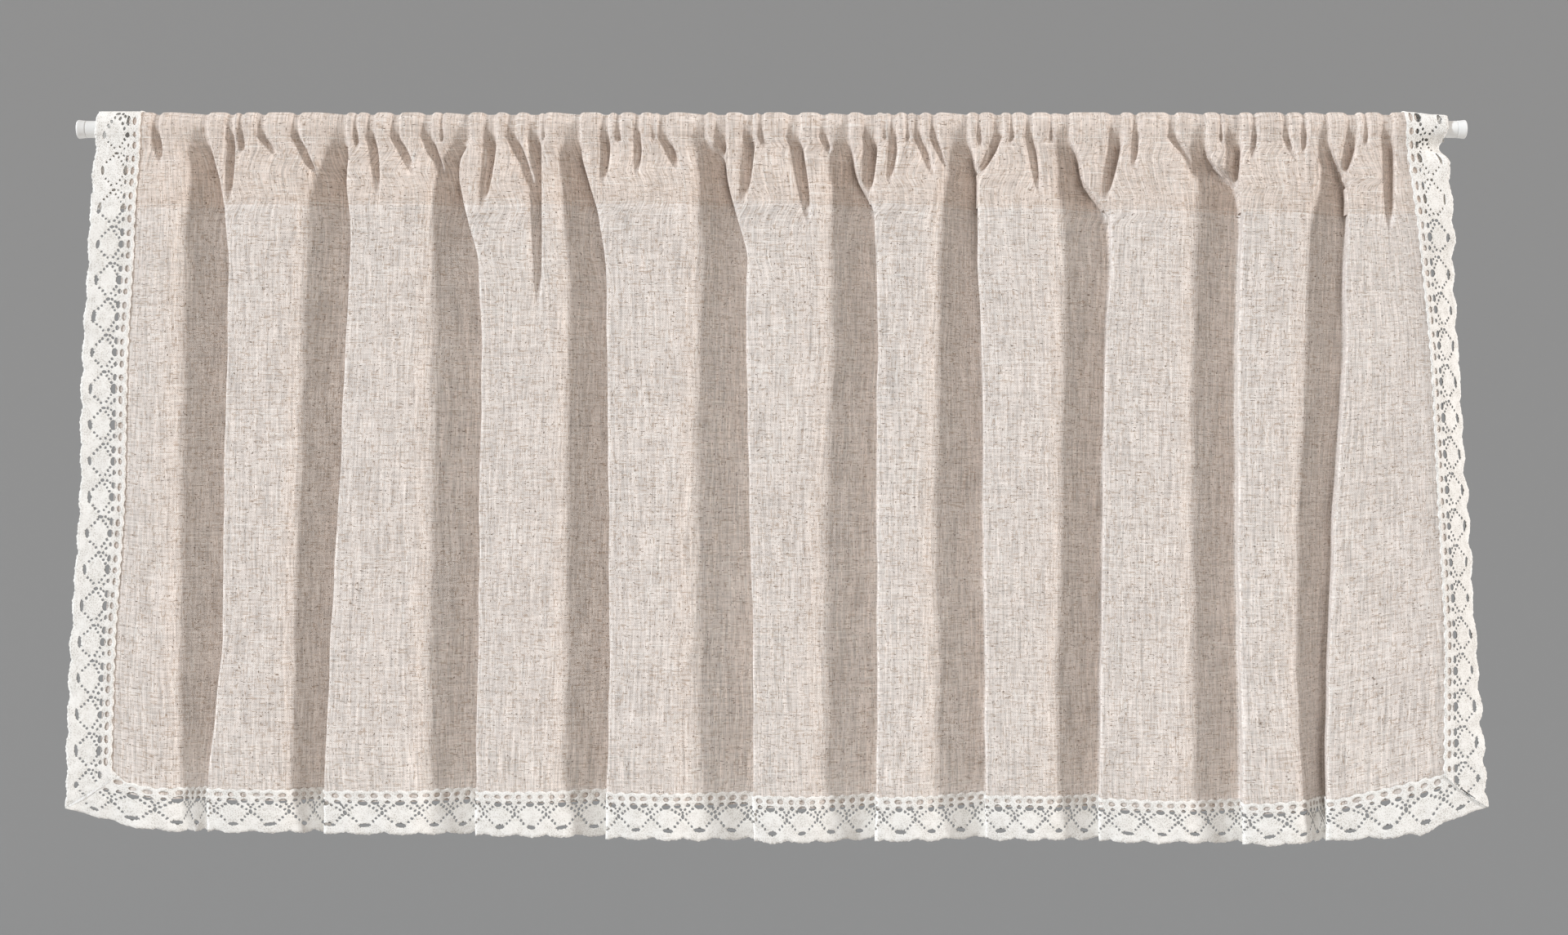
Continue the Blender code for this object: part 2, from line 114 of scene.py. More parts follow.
# Every other gather of the heading, a groove that narrows to a point
GATHERS = (
    # x at the rod, x at the point, drop of the point, width
    (66, 69, 29, 8),
    (127, 127, 66, 8),
    (136, 137, 24, 6),
    (153, 167, 26, 8),
    (181, 201, 52, 8),
    (231, 233, 18, 5),
    (243, 250, 60, 8),
    (263, 279, 42, 9),
    (289, 303, 52, 10),
    (302, 302, 13, 4),
    (341, 335, 70, 11),
    (359, 380, 66, 10),
    (377, 381, 155, 11),
    (386, 386, 14, 4),
    (436, 434, 50, 9),
    (447, 449, 13, 6),
    (463, 462, 44, 7),
    (476, 477, 13, 4),
    (484, 496, 38, 10),
    (531, 529, 32, 11),
    (554, 549, 68, 11),
    (565, 569, 18, 6),
    (591, 603, 85, 12),
    (616, 620, 26, 9),
    (654, 650, 64, 13),
    (667, 667, 13, 4),
    (674, 669, 52, 8),
    (686, 685, 13, 5),
    (694, 707, 44, 8),
    (707, 719, 46, 7),
    (745, 746, 17, 5),
    (760, 742, 42, 9),
    (772, 771, 13, 5),
    (786, 793, 58, 8),
    (804, 804, 13, 5),
    (857, 845, 62, 12),
    (874, 870, 34, 7),
    (904, 926, 42, 9),
    (944, 944, 13, 5),
    (954, 950, 62, 14),
    (972, 969, 26, 6),
    (998, 1005, 26, 7),
    (1013, 1012, 21, 6),
    (1052, 1041, 42, 11),
    (1064, 1063, 14, 5),
    (1081, 1080, 82, 11),
)

# The side edges at the seven levels
LEFT_OUTER = (17, 14, 13, 8, 6, -2, -5)
RIGHT_INNER = (1096, 1104, 1108, 1115, 1121, 1127, 1126)
RIGHT_REACH = (38, 35.4, 33, 30.3, 31.7, 32.4, 37.6)

# The length of one repeat of the lace as it was worked
LACE_REPEAT = 28.5

# The share of a rounded corner's radius at which its arc meets the mitre
CORNER_SHARE = 1.0 - math.sqrt(0.5)

# Lines across the curtain, as x and drop
SEAM_LINE = ((55, 67), (129, 64), (665, 63), (746, 66), (913, 69), (1074, 72))
INNER_LINE = ((33, 536), (70, 543), (205, 545), (405, 546), (640, 551), (772, 549), (973, 556),
              (1040, 552), (1126, 532))
OUTER_LINE = ((-6, 559), (35, 572), (69, 579), (344, 583), (585, 589), (772, 586), (987, 591),
              (1107, 583), (1141, 567), (1164, 559))


class Side(Enum):
    """The two sides of the curtain."""

    LEFT = "left"
    RIGHT = "right"


class Thread(Enum):
    """The two ways that threads run in a plain weave."""

    WARP = "warp"
    WEFT = "weft"


def ease(value: Array | float) -> Array | float:
    """Ease a share from 0 to 1, flat at both ends."""
    share = np.clip(value, 0.0, 1.0)
    return share * share * (3.0 - 2.0 * share)


def soften(values: Array, spread: float) -> Array:
    """Blur a row of evenly spaced values.

    Args:
        values: The row.
        spread: The blur's standard deviation, in steps of the row.

    Returns:
        The blurred row, of the same length.
    """
    reach = int(3.0 * spread) + 1
    steps = np.arange(-reach, reach + 1)
    weights = np.exp(-0.5 * (steps / spread) ** 2)
    padded = np.pad(values, reach, mode="edge")
    return np.convolve(padded, weights / weights.sum(), mode="valid")


def bell(value: Array | float, spread: float) -> Array | float:
    """A bump that is 1 at zero and dies away over the spread."""
    return np.exp(-((value / spread) ** 2))


def ripple(places: Array | float, lengths: Numbers, phase: float) -> Array:
    """Add up a few sine waves into an uneven line between about -1 and 1.

    Args:
        places: Where the line is read, in mm.
        lengths: The wavelengths, in mm.
        phase: A shift that makes each line its own.

    Returns:
        The line's height at each place.
    """
    total = sum(
        np.sin(2.0 * math.pi * places / length + phase * (index + 1.7))
        for index, length in enumerate(lengths)
    )
    return total / len(lengths)


def quads(rings: int, steps: int, first: int = 0, closed: bool = True) -> list[Face]:
    """Join rings of points by faces with four sides.

    Args:
        rings: How many rings there are.
        steps: How many points each ring has.
        first: The number of the first point.
        closed: Whether each ring's last point joins its first one.

    Returns:
        The faces, as point numbers.
    """
    faces = []
    for low in range(first, first + (rings - 1) * steps, steps):
        for step in range(steps if closed else steps - 1):
            after = (step + 1) % steps
            faces.append((low + step, low + after, low + steps + after, low + steps + step))
    return faces


@dataclass(frozen=True)
class Change:
    """A change that comes in smoothly from its start on, over its length."""

    start: float
    length: float

    def at(self, place: float) -> float:
        """The share of the change that has come in at a place."""
        return float(ease((place - self.start) / self.length))


@dataclass
class ClothShape:
    """The middle surface of the hung cloth, from the lace's tip up, over the rod and down.

    A place on it is a flat distance across from the left lace's outer edge, and a path
    distance up the front, which is minus the drop, and on over the rod.
    """

    # The lace's width, and the levels of the cloth's lines below the rod's axis
    lace_width: float = 38.0
    stitch_drop: float = STITCH_DROP
    seam_drop: float = 66.0
    reference_drop: float = 312.0
    inner_drop: float = 545.0
    outer_drop: float = 583.0
    # How far the front stands before the rod's axis, and how the heading opens out
    front_at_stitch: float = 11.4
    front_at_heading: float = 17.0
    front_at_hem: float = 18.0
    opening: Change = Change(STITCH_DROP, 70.0)
    # The larger folds: their depth, where their sides lie, and the round panels between
    main_depth: float = 27.0
    deepening: Change = Change(STITCH_DROP, 28.0)
    fold_steep: float = 0.92
    fold_turn: float = 0.93
    fold_tuck: float = 4.0
    fold_lead: float = 7.0
    fold_lead_low: float = 13.0
    leading: Change = Change(30.0, 50.0)
    fold_late: float = 2.0
    slope_power: float = 1.1
    crown: float = 2.1
    sway_waves: Numbers = (97.0, 171.0, 61.0)
    start_sway: float = 1.1
    end_sway: float = 0.7
    # How much shallower the folds get towards the hem, the first one from further up
    hem_flare: float = 0.5
    flaring: Change = Change(532.0, 45.0)
    first_flare: float = 0.5
    first_flaring: Change = Change(450.0, 110.0)
    # The gathers of the heading, and how deep gathers and folds may get together
    gather_depth: float = 5.4
    gather_turn: float = 0.78
    gather_soft: float = 0.25
    gather_tuck: float = 0.6
    tucking: Change = Change(STITCH_DROP, 12.0)
    gather_steep: float = 0.95
    gather_wide: float = 1.3
    gather_narrow: float = 0.6
    limit_share: float = 1.1
    limiting: Change = Change(STITCH_DROP, 25.0)
    # The cloth's low waves across and down, and its pinches as level, spread and depth
    wave_height: float = 0.45
    across_waves: Numbers = (63.0, 29.0, 113.0)
    across_slant: float = 0.13
    down_waves: Numbers = (210.0, 90.0)
    down_slant: float = 0.4
    pinches: tuple[Triple, ...] = ((8.5, 2.5, 0.12), (64.5, 2.0, 0.5))
    rounding: float = 0.65
    # The right lace, which turns to the back and is dented near the rod
    strip_steps: int = 70
    strip_bend: float = 1.15
    dent: float = 4.5
    dent_drop: float = 15.0
    dent_spread: float = 6.0
    # The way over the rod, in degrees, and how much of the gathers' height stays on it
    loop_radius: float = 8.9
    stitch_angle: float = -51.0
    loop_end: float = 262.0
    loop_steps: int = 13
    loop_advance: float = 0.43
    loop_share: float = 0.6
    stitch_swell: float = 0.34
    stitch_fade: Change = Change(-51.0, 50.0)
    top_swell: float = 0.4
    top_rise: Change = Change(5.0, 60.0)
    back_flat: float = 0.75
    back_fall: Change = Change(80.0, 160.0)
    even_share: float = 0.6
    evening: Change = Change(-20.0, 80.0)
    # The second layer behind the heading
    back_gap: float = 0.9
    back_reach: float = 1.6
    back_start: float = 5.0
    back_drops: Numbers = (11.0, 15.0, 22.0, 30.0, 38.0, 46.0, 54.0, 61.0)
    # The fineness of the lines and of the grid, its rows as from, to and pitch
    columns: int = 158
    sample: float = 0.5
    grid_pitch: float = 1.5
    row_bands: tuple[Triple, ...] = (
        (592.0, 536.0, 4.0), (536.0, 120.0, 8.0), (120.0, STITCH_DROP + 1.0, 2.4)
    )
    levels: dict[str, Array] = field(default_factory=dict)

    def __post_init__(self) -> None:
        """Work out the flat width and the fine grid of the surface."""
        self.even_drops = np.arange(0.0, 621.0)
        self.knots = self.profile(self.reference_drop)[3]
        self.width = float(self.knots[-1])
        self.pitch = self.width / self.columns
        count = int(self.width / self.grid_pitch) + 1
        self.across = np.linspace(0.0, self.width, count)
        self.build_grid()

    def level(self, name: str, row: Numbers, drop: float,
              drops: Numbers = FOLD_DROPS, spread: float = 14.0) -> float:
        """Read one of the tables' rows at a level, on a smooth line through its values.

        Args:
            name: A name for the row.
            row: Its values.
            drop: The level.
            drops: The levels of the row's values.
            spread: How far the line is smoothed.

        Returns:
            The value at the level.
        """
        if name not in self.levels:
            straight = np.interp(self.even_drops, drops, row)
            self.levels[name] = soften(straight, spread)
        return float(np.interp(drop, self.even_drops, self.levels[name]))

    def fold_sides(self, index: int, drop: float) -> tuple[float, float]:
        """The places where one of the larger folds starts and ends at a level.

        Args:
            index: The fold's number.
            drop: The level below the rod's axis.

        Returns:
            The x of its soft side and of its sharp side.
        """
        drops = HEAD_DROPS + FOLD_DROPS[1:]
        sides = []
        for name, head, main in zip(("left", "right"), FOLD_HEADS[index], MAIN_FOLDS[index]):
            row = head + main[1:]
            sides.append(self.level(f"shape {name} {index}", row, drop, drops, spread=5.0))
        return sides[0], sides[1]

    def line(self, table: tuple[tuple[float, float], ...], x: Array) -> Array:
        """Read a line across the curtain at each x."""
        places, drops = zip(*table)
        return np.interp(x, places, drops)

    def slope(self, share: Array, turn: float, soft: float) -> Array:
        """A fold's depth across its width.

        Args:
            share: The place across the fold, from 0 at its soft side to 1 at its sharp side.
            turn: The share at which the cloth turns back to the front.
            soft: The share over which the soft side curves into the slope.

        Returns:
            The depth at each place, from 0 to 1.
        """
        down = np.clip(share / turn, 0.0, 1.0)
        down = np.where(down < soft, down**2 / (2.0 * soft), down - 0.5 * soft)
        down = (down / (1.0 - 0.5 * soft)) ** self.slope_power
        back = np.clip((1.0 - share) / (1.0 - turn), 0.0, 1.0)
        depth = np.where(share <= turn, down, back)
        return np.where((share > 0.0) & (share < 1.0), depth, 0.0)

    def tuck(self, share: Array, turn: float, reach: float) -> Array:
        """How far each place of a fold slides under the fold's sharp side."""
        slide = np.where(share <= turn, share / turn, (1.0 - share) / (1.0 - turn))
        return np.where((share > 0.0) & (share < 1.0), slide * reach, 0.0)

    def gathers(self, x: Array, drop: float) -> tuple[Array, Array]:
        """The gathers of the heading at one level.

        Args:
            x: The places along the level.
            drop: The level below the rod's axis.

        Returns:
            The gathers' depth and their slide to the right at each place.
        """
        total = np.zeros_like(x)
        slide = np.zeros_like(x)
        under = self.tucking.at(drop)
        turn = self.gather_turn
        for top_x, low_x, low_drop, width in GATHERS:
            share = max(0.0, drop - self.stitch_drop) / (low_drop - self.stitch_drop)
            if share >= 1.0:
                continue
            middle = top_x + (low_x - top_x) * share
            spread = self.gather_wide * width * (1.0 - self.gather_narrow * share**3)
            depth = self.gather_steep * spread * (1.0 - share**5)
            place = (x - middle) / spread + 0.5
            total = np.maximum(total, depth * self.slope(place, turn, self.gather_soft))
            reach = (1.0 - turn) * spread + self.gather_tuck
            slide = np.maximum(slide, under * self.tuck(place, turn, reach))
        return total, slide

    def main_folds(self, x: Array, drop: float, opened: float,
                   knots: list[float]) -> tuple[Array, Array, Array]:
        """The larger folds and the panels between them at one level.

        Args:
            x: The places along the level.
            drop: The level below the rod's axis.
            opened: How far the heading has opened out there.
            knots: The left lace's two edges, to which both sides of each fold are added.

        Returns:
            The folds' depth, the panels' height and the slide to the right at each place.
        """
        fold, crown, slide = (np.zeros_like(x) for _ in range(3))
        deep = self.deepening.at(drop)
        depth = self.gather_depth + (self.main_depth - self.gather_depth) * deep
        depth *= 1.0 - self.hem_flare * self.flaring.at(drop)
        lead = self.fold_lead
        lead += (self.fold_lead_low - self.fold_lead) * self.leading.at(drop)
        for index, (lefts, rights) in enumerate(MAIN_FOLDS):
            sway = opened * float(ripple(drop, self.sway_waves, index + 0.4))
            start_sway, end_sway = self.start_sway * sway, self.end_sway * sway
            start = self.level(f"start{index}", lefts, drop) + start_sway
            end = self.level(f"end{index}", rights, drop) + end_sway
            panel = np.clip((x - knots[-1]) / (start - knots[-1]), 0.0, 1.0)
            crown += self.crown * np.sin(math.pi * panel) * opened
            knots += [start, end]
            start, end = self.fold_sides(index, drop)
            start, end = start + start_sway - lead, end + end_sway + self.fold_late
            share = (x - start) / (end - start)
            deepest = min(depth, self.fold_steep * (end - start))
            if index == 0:
                deepest *= 1.0 - self.first_flare * self.first_flaring.at(drop)
            fold += deepest * self.slope(share, self.fold_turn, SOFT_SIDES[index])
            reach = (1.0 - self.fold_turn) * (end - start) + self.fold_tuck
            slide += deep * self.tuck(share, self.fold_turn, reach)
        return fold, crown, slide

    def profile(self, drop: float) -> tuple[Array, Array, Array, Array]:
        """The cloth's line at one level.

        Args:
            drop: The level below the rod's axis.

        Returns:
            x and y along the line, the length along it, and the knots' lengths along it.
        """
        left = self.level("left", LEFT_OUTER, drop)
        right = self.level("right", RIGHT_INNER, drop)
        x = np.linspace(left, right, int((right - left) / self.sample) + 1)
        opened = self.opening.at(drop)
        front = self.front_at_stitch
        front += (self.front_at_heading - self.front_at_stitch) * opened
        front += (self.front_at_hem - self.front_at_heading) * drop / self.outer_drop
        knots = [left, left + self.lace_width]
        fold, crown, slide = self.main_folds(x, drop, opened, knots)
        knots.append(right)
        gathered, gather_slide = self.gathers(x, drop)
        limit = self.gather_depth * self.limit_share
        limit += self.main_depth * self.limiting.at(drop)
        fold = np.minimum(np.maximum(fold, gathered), limit)
        uneven = ripple(x + self.across_slant * drop, self.across_waves, 0.9)
        uneven += ripple(drop + self.down_slant * x, self.down_waves, 2.3)
        pinch = sum(depth * bell(drop - level, spread) for level, spread, depth in self.pinches)
        y = -front - crown + fold + self.wave_height * uneven * opened + pinch
        blur = self.rounding / self.sample
        y = soften(y, blur)
        places = x
        x = x + soften(np.maximum(slide, gather_slide), blur)
        reach = min(self.level("reach", RIGHT_REACH, drop), self.lace_width)
        reach -= self.dent * bell(drop - self.dent_drop, self.dent_spread)
        strip = np.linspace(0.0, 1.0, self.strip_steps)[1:]
        turn = math.sqrt(self.lace_width**2 - reach**2)
        x = np.concatenate([x, right + reach * strip])
        places = np.concatenate([places, right + reach * strip])
        y = np.concatenate([y, y[-1] + turn * strip**self.strip_bend])
        length = np.concatenate([[0.0], np.cumsum(np.hypot(np.diff(x), np.diff(y)))])
        return x, y, length, np.append(np.interp(knots, places, length), length[-1])

    def height(self, x: Array, drop: float) -> Array:
        """The height of a row of points, which follows the seam's and the hem's lines.

        Args:
            x: The points' places along the row.
            drop: The row's level below the rod's axis.

        Returns:
            Each point's height, 0 at the rod's axis.
        """
        inner = self.line(INNER_LINE, x)
        if drop > self.inner_drop:
            share = (drop - self.inner_drop) / self.lace_width
            return -(inner + (self.line(OUTER_LINE, x) - inner) * share)
        seam = self.line(SEAM_LINE, x)
        if drop > self.seam_drop:
            share = (drop - self.seam_drop) / (self.inner_drop - self.seam_drop)
            return -(seam + (inner - seam) * share)
        share = (drop - self.stitch_drop) / (self.seam_drop - self.stitch_drop)
        return -(self.stitch_drop + (seam - self.stitch_drop) * share)

    def front_row(self, drop: float, behind: float = 0.0) -> Array:
        """A row of points across the cloth.

        Args:
            drop: The level below the rod's axis.
            behind: How far behind the front layer the row stands, 0 for the front itself.

        Returns:
            The points, one for each column.
        """
        x, y, length, knots = self.profile(drop)
        places = np.interp(self.across, self.knots, knots)
        if behind:
            reach = int(self.back_reach / self.sample)
            y = np.max([np.roll(y, step) for step in range(-reach, reach + 1)], axis=0)
            y = y + behind
        row_x = np.interp(places, length, x)
        row_y = np.interp(places, length, y)
        return np.stack([row_x, row_y, self.height(row_x, drop)], axis=1)

    def loop_rows(self, stitch: Array) -> list[Array]:
        """The rows of points that carry the cloth from the stitches over the rod.

        Args:
            stitch: The row of points along the stitches.

        Returns:
            The rows, in their order round the rod.
        """
        rows = []
        gather = np.maximum(-stitch[:, 1] - (self.front_at_stitch - self.gather_depth), 0.0)
        for turn in np.linspace(self.stitch_angle, self.loop_end, self.loop_steps + 1)[1:]:
            share = self.loop_share + self.top_swell * self.top_rise.at(turn)
            share += self.stitch_swell * (1.0 - self.stitch_fade.at(turn))
            share -= self.back_flat * self.back_fall.at(turn)
            even = self.even_share * self.evening.at(turn)
            bulge = gather + (self.gather_depth - gather) * even
            radius = self.loop_radius + share * bulge
            angle = math.radians(turn)
            rows.append(np.stack([stitch[:, 0], -(np.cos(angle) * radius),
                                  np.sin(angle) * radius], axis=1))
        return rows

    def build_grid(self) -> None:
        """Work out the surface's points, path distances and normals."""
        bands = [np.arange(low, high, -pitch) for low, high, pitch in self.row_bands]
        drops = np.append(np.concatenate(bands), self.stitch_drop)
        rows = [self.front_row(drop) for drop in drops]
        path = list(-drops)
        for row in self.loop_rows(rows[-1]):
            rows.append(row)
            path.append(path[-1] + self.loop_radius * self.loop_advance)
        above = self.back_start
        for drop in (*self.back_drops, self.seam_drop):
            rows.append(self.front_row(drop, self.back_gap))
            path.append(path[-1] + drop - above)
            above = drop
        self.rows = np.stack(rows)
        self.path = np.array(path)
        along = np.gradient(self.rows, axis=0)
        normal = np.cross(np.gradient(self.rows, axis=1), along)
        self.normals = normal / np.linalg.norm(normal, axis=2, keepdims=True)

    def place(self, across: Array, path: Array, lift: Array | float) -> Array:
        """Lay flat places on the cloth.

        Args:
            across: Flat distances from the left lace's outer edge.
            path: Path distances, minus the drop on the front.
            lift: How far outward from the middle surface each point stands.

        Returns:
            The points in mm.
        """
        column = across / self.width * (len(self.across) - 1)
        left = np.clip(column.astype(int), 0, len(self.across) - 2)
        part = (column - left)[:, None]
        row = np.clip(np.searchsorted(self.path, path) - 1, 0, len(self.path) - 2)
        share = ((path - self.path[row]) / (self.path[row + 1] - self.path[row]))[:, None]
        lifted = np.broadcast_to(np.asarray(lift, float), across.shape)[:, None]

        def mix(grid: Array) -> Array:
            """Read the grid between its four nearest points."""
            low = grid[row, left] * (1.0 - part) + grid[row, left + 1] * part
            high = grid[row + 1, left] * (1.0 - part) + grid[row + 1, left + 1] * part
            return low * (1.0 - share) + high * share

        return mix(self.rows) + mix(self.normals) * lifted


class MeshMaker:
    """Turns arrays of points and faces into objects of the curtain."""

    def __init__(self, name: str) -> None:
        """Open the collection that holds the new pieces."""
        self.collection = bpy.data.collections.new(name)
        bpy.context.scene.collection.children.link(self.collection)

    def add(self, name: str, points: Array, faces: list[Face], flat: Array | None,
            finish: Material) -> bpy.types.Object:
        """Make one smooth object.

        Args:
            name: The piece's name.
            points: Its points in mm.
            faces: Its faces, as point numbers.
            flat: Each point's place on the flat cloth in mm, or None.
            finish: Its material.

        Returns:
            The new object.
        """
        mesh = bpy.data.meshes.new(name)
        mesh.from_pydata((points * MM).tolist(), [], faces)
        if flat is not None:
            layer = mesh.attributes.new("flat", "FLOAT_VECTOR", "POINT")
            layer.data.foreach_set("vector", np.asarray(flat, np.float32).ravel())
        mesh.materials.append(finish)
        mesh.shade_smooth()
        made = bpy.data.objects.new(name, mesh)
        self.collection.objects.link(made)
        return made


@dataclass
class LinenPanel:
    """The linen: one sheet from the hem up, over the rod and down to the heading's seam."""

    shape: ClothShape
    column_pitch: float = 1.8
    hem_columns: int = 3
    hem_drop: float = 554.5
    body_top: float = -120.0
    body_rows: int = 50
    heading_rows: int = 44

    def path_stations(self) -> Array:
        """The path distances of the sheet's rows.

        Returns:
            The distances, from the hem up and on over the rod.
        """
        shape = self.shape
        body = np.linspace(-self.hem_drop, self.body_top, self.body_rows)
        heading = np.linspace(self.body_top, -shape.stitch_drop, self.heading_rows)[1:]
        loop = shape.path[shape.path > -shape.stitch_drop]
        return np.concatenate([body, heading, loop])

    def build(self, maker: MeshMaker, finish: Material) -> bpy.types.Object:
        """Make the sheet.

        Args:
            maker: The maker of objects.
            finish: The linen.

        Returns:
            The sheet's object.
        """
        edge = self.hem_columns * self.shape.pitch
        count = int((self.shape.width - 2.0 * edge) / self.column_pitch) + 1
        across = np.linspace(edge, self.shape.width - edge, count)
        stations = self.path_stations()
        grid_u, grid_s = np.meshgrid(across, stations)
        points = self.shape.place(grid_u.ravel(), grid_s.ravel(), 0.0)
        flat = np.stack([grid_u.ravel(), grid_s.ravel(), np.zeros(points.shape[0])], axis=1)
        faces = quads(len(stations), count, closed=False)
        made = maker.add("linen_cloth", points, faces, flat, finish)
        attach(made, BODY)
        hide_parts("linen_panel")
        return made


@dataclass(frozen=True)
class Hole:
    """One hole of a lace repeat, with its place, its size and its slant."""

    across: float
    along: float
    wide: float
    long: float
    slant: float = 0.0
    sides: int = 6


def lace_repeat() -> list[Hole]:
    """The holes of one repeat of the lace.

    Returns:
        The holes, with `across` measured from the inner edge and `along` from the middle.
    """
    # The row along the inner edge, the ovals round the diamond, and the holes between diamonds
    holes = [Hole(4.5, step * 9.5, 3.7, 6.1, 0.0, 10) for step in (-1, 0, 1)]
    holes += [
        Hole(10.3, 0.0, 4.6, 7.0, 0.0, 12),
        Hole(9.8, 9.8, 3.0, 5.6, 0.0, 10),
        Hole(9.5, -9.4, 2.3, 3.6, 0.0, 8),
        Hole(18.7, 14.25, 3.4, 2.2, 0.0, 8),
        Hole(29.4, 0.0, 2.7, 8.8, 0.0, 12),
        Hole(15.0, 14.25, 1.7, 2.1, 0.0),
    ]
    # The rows of small holes that draw the diamond's sides, as across and along
    inner_row = ((12.6, 5.1), (14.6, 8.0), (16.6, 11.0))
    upper_row = ((12.6, 12.3),)
    outer_row = ((21.0, 11.7), (23.6, 9.2), (26.2, 6.7))
    for row, slant in ((inner_row, -0.7), (upper_row, 0.7), (outer_row, 0.8)):
        for across, along in row:
            holes.append(Hole(across, along, 1.7, 2.1, slant))
            holes.append(Hole(across, -along, 1.7, 2.1, -slant))
    return holes


@dataclass(frozen=True)
class Span:
    """Where a strip's inner edge starts and ends, and how much further its outer edge goes."""

    start: float
    end: float
    start_cut: float
    end_cut: float


@dataclass
class LaceStrip:
    """A length of torchon lace, drawn flat and laid on the cloth."""

    shape: ClothShape
    name: str
    node: str
    seed: int
    repeat: float = LACE_REPEAT
    start_round: float = 0.0
    end_round: float = 0.0
    # The thickness of the strip and its edges, its inner cord, and how far it stands off
    thickness: float = 0.7
    middle_puff: float = 0.5
    edge_puff: float = 0.26
    under_share: float = 0.35
    cord: float = 0.5
    cord_place: float = 0.9
    cord_spread: float = 1.0
    lift: float = 0.5
    mitre_rise: float = 0.0
    mitre_spread: float = 3.0
    # The outer edge's scallops and teeth, and the inner edge's waves
    scallop: float = 2.3
    scallop_gap: float = 0.4
    scallop_sway: float = 1.5
    sway: float = 0.5
    sway_waves: Numbers = (71.0, 43.0, 17.0)
    teeth: float = 0.55
    teeth_waves: Numbers = (5.3, 3.4, 8.9)
    inner_wave: float = 0.55
    inner_sway: float = 0.25
    inner_waves: Numbers = (37.0, 13.0)
    # The flutter of the free edge
    flutter_start: float = 8.0
    flutter_power: float = 1.6
    flutter_height: float = 1.5
    flutter_waves: Numbers = (58.0, 27.0, 133.0)
    # The pitches of the outline's points, and the smooth length at a mitre's tip
    inner_step: float = 1.2
    outer_step: float = 0.8
    end_gap: float = 1.0
    tip_reach: float = 15.0
    tip_gap: float = 0.6
    # The holes' unevenness and their distance from the strip's ends
    along_jitter: float = 0.3
    across_jitter: float = 0.25
    size_jitter: float = 0.2
    slant_jitter: float = 0.15
    hole_turn: float = 0.3
    hole_margin: float = 1.2
    corner_follow: float = 0.9
    first_row: float = 6.0
    # The drawing's points between the holes, and round each hole
    grid: float = 1.9
    grid_start: tuple[float, float] = (1.0, 1.3)
    grid_gap: float = 0.85
    collar: float = 0.45
    collar_gap: float = 0.75
    weld: float = 1e-4
    # Where something lies behind the holes, and how faint the painted shading round their edges
    # is there
    backed_across: float = 7.0
    backed_path: float = -38.0
    backed_reach: float = 26.0
    backed_rim_shading: float = 0.34

    def outer_edge(self, along: Array) -> Array:
        """The distance of the scalloped outer edge from the inner edge.

        Args:
            along: The places along the strip.

        Returns:
            The distance at each place.
        """
        uneven = ripple(along, self.sway_waves, self.seed)
        wave = np.abs(np.cos(math.pi * (along + self.scallop_sway * uneven) / self.repeat))
        scallop = self.shape.lace_width - self.scallop_gap - self.scallop * (1.0 - wave)
        teeth = self.teeth * ripple(along, self.teeth_waves, self.seed + 0.3)
        return scallop + teeth + self.sway * uneven

    def inner_edge(self, along: Array) -> Array:
        """The distance of the inner edge, with three waves to a repeat, from its line."""
        wave = -self.inner_wave * np.cos(6.0 * math.pi * along / self.repeat)
        return wave + self.inner_sway * ripple(along, self.inner_waves, self.seed + 0.5)

    def fillet(self, along: Array | float, radius: float) -> Array | float:
        """How far the inner edge leaves its line to round a corner off.

        Args:
            along: The distance from the corner.
            radius: The corner's radius.

        Returns:
            The distance from the straight line, 0 beyond the radius.
        """
        inside = np.clip(radius - along, 0.0, radius)
        return radius - np.sqrt(radius**2 - inside**2)

    def flutter(self, along: Array, across: Array) -> Array:
        """How far the free edge leaves the cloth's line.

        Args:
            along: The places along the strip.
            across: Their distances from the inner edge.

        Returns:
            The distance outward at each place.
        """
        width = self.shape.lace_width - self.flutter_start
        free = np.clip((across - self.flutter_start) / width, 0.0, 1.0) ** self.flutter_power
        wave = ripple(along, self.flutter_waves, self.seed + 1.9)
        return free * self.flutter_height * wave

    def outline(self, span: Span) -> Array:
        """The strip's edge as a closed line.

        Args:
            span: Where the strip starts and ends.

        Returns:
            The outline's points, as distances along and across.
        """
        first = CORNER_SHARE * self.start_round
        last = CORNER_SHARE * self.end_round
        tips = (span.start - span.start_cut, span.end + span.end_cut)
        gap = self.end_gap
        inner = np.arange(span.start + first + gap, span.end - last - gap, self.inner_step)
        outer = np.arange(tips[1] - gap, tips[0] + gap, -self.outer_step)
        rounded = self.fillet(inner - span.start, self.start_round)
        rounded += self.fillet(span.end - inner, self.end_round)
        low = np.stack([inner, self.inner_edge(inner) - rounded], axis=1)
        wide = self.shape.lace_width
        edge = self.outer_edge(outer)
        for tip, mitred in zip(tips, (span.start_cut, span.end_cut)):
            if mitred:
                edge += (wide + self.tip_gap - edge) * bell(outer - tip, self.tip_reach)
        high = np.stack([outer, edge], axis=1)
        ends = [(span.end - last, -last), (tips[1], wide)]
        starts = [(tips[0], wide), (span.start + first, -first)]
        return np.concatenate([low, ends, high, starts])

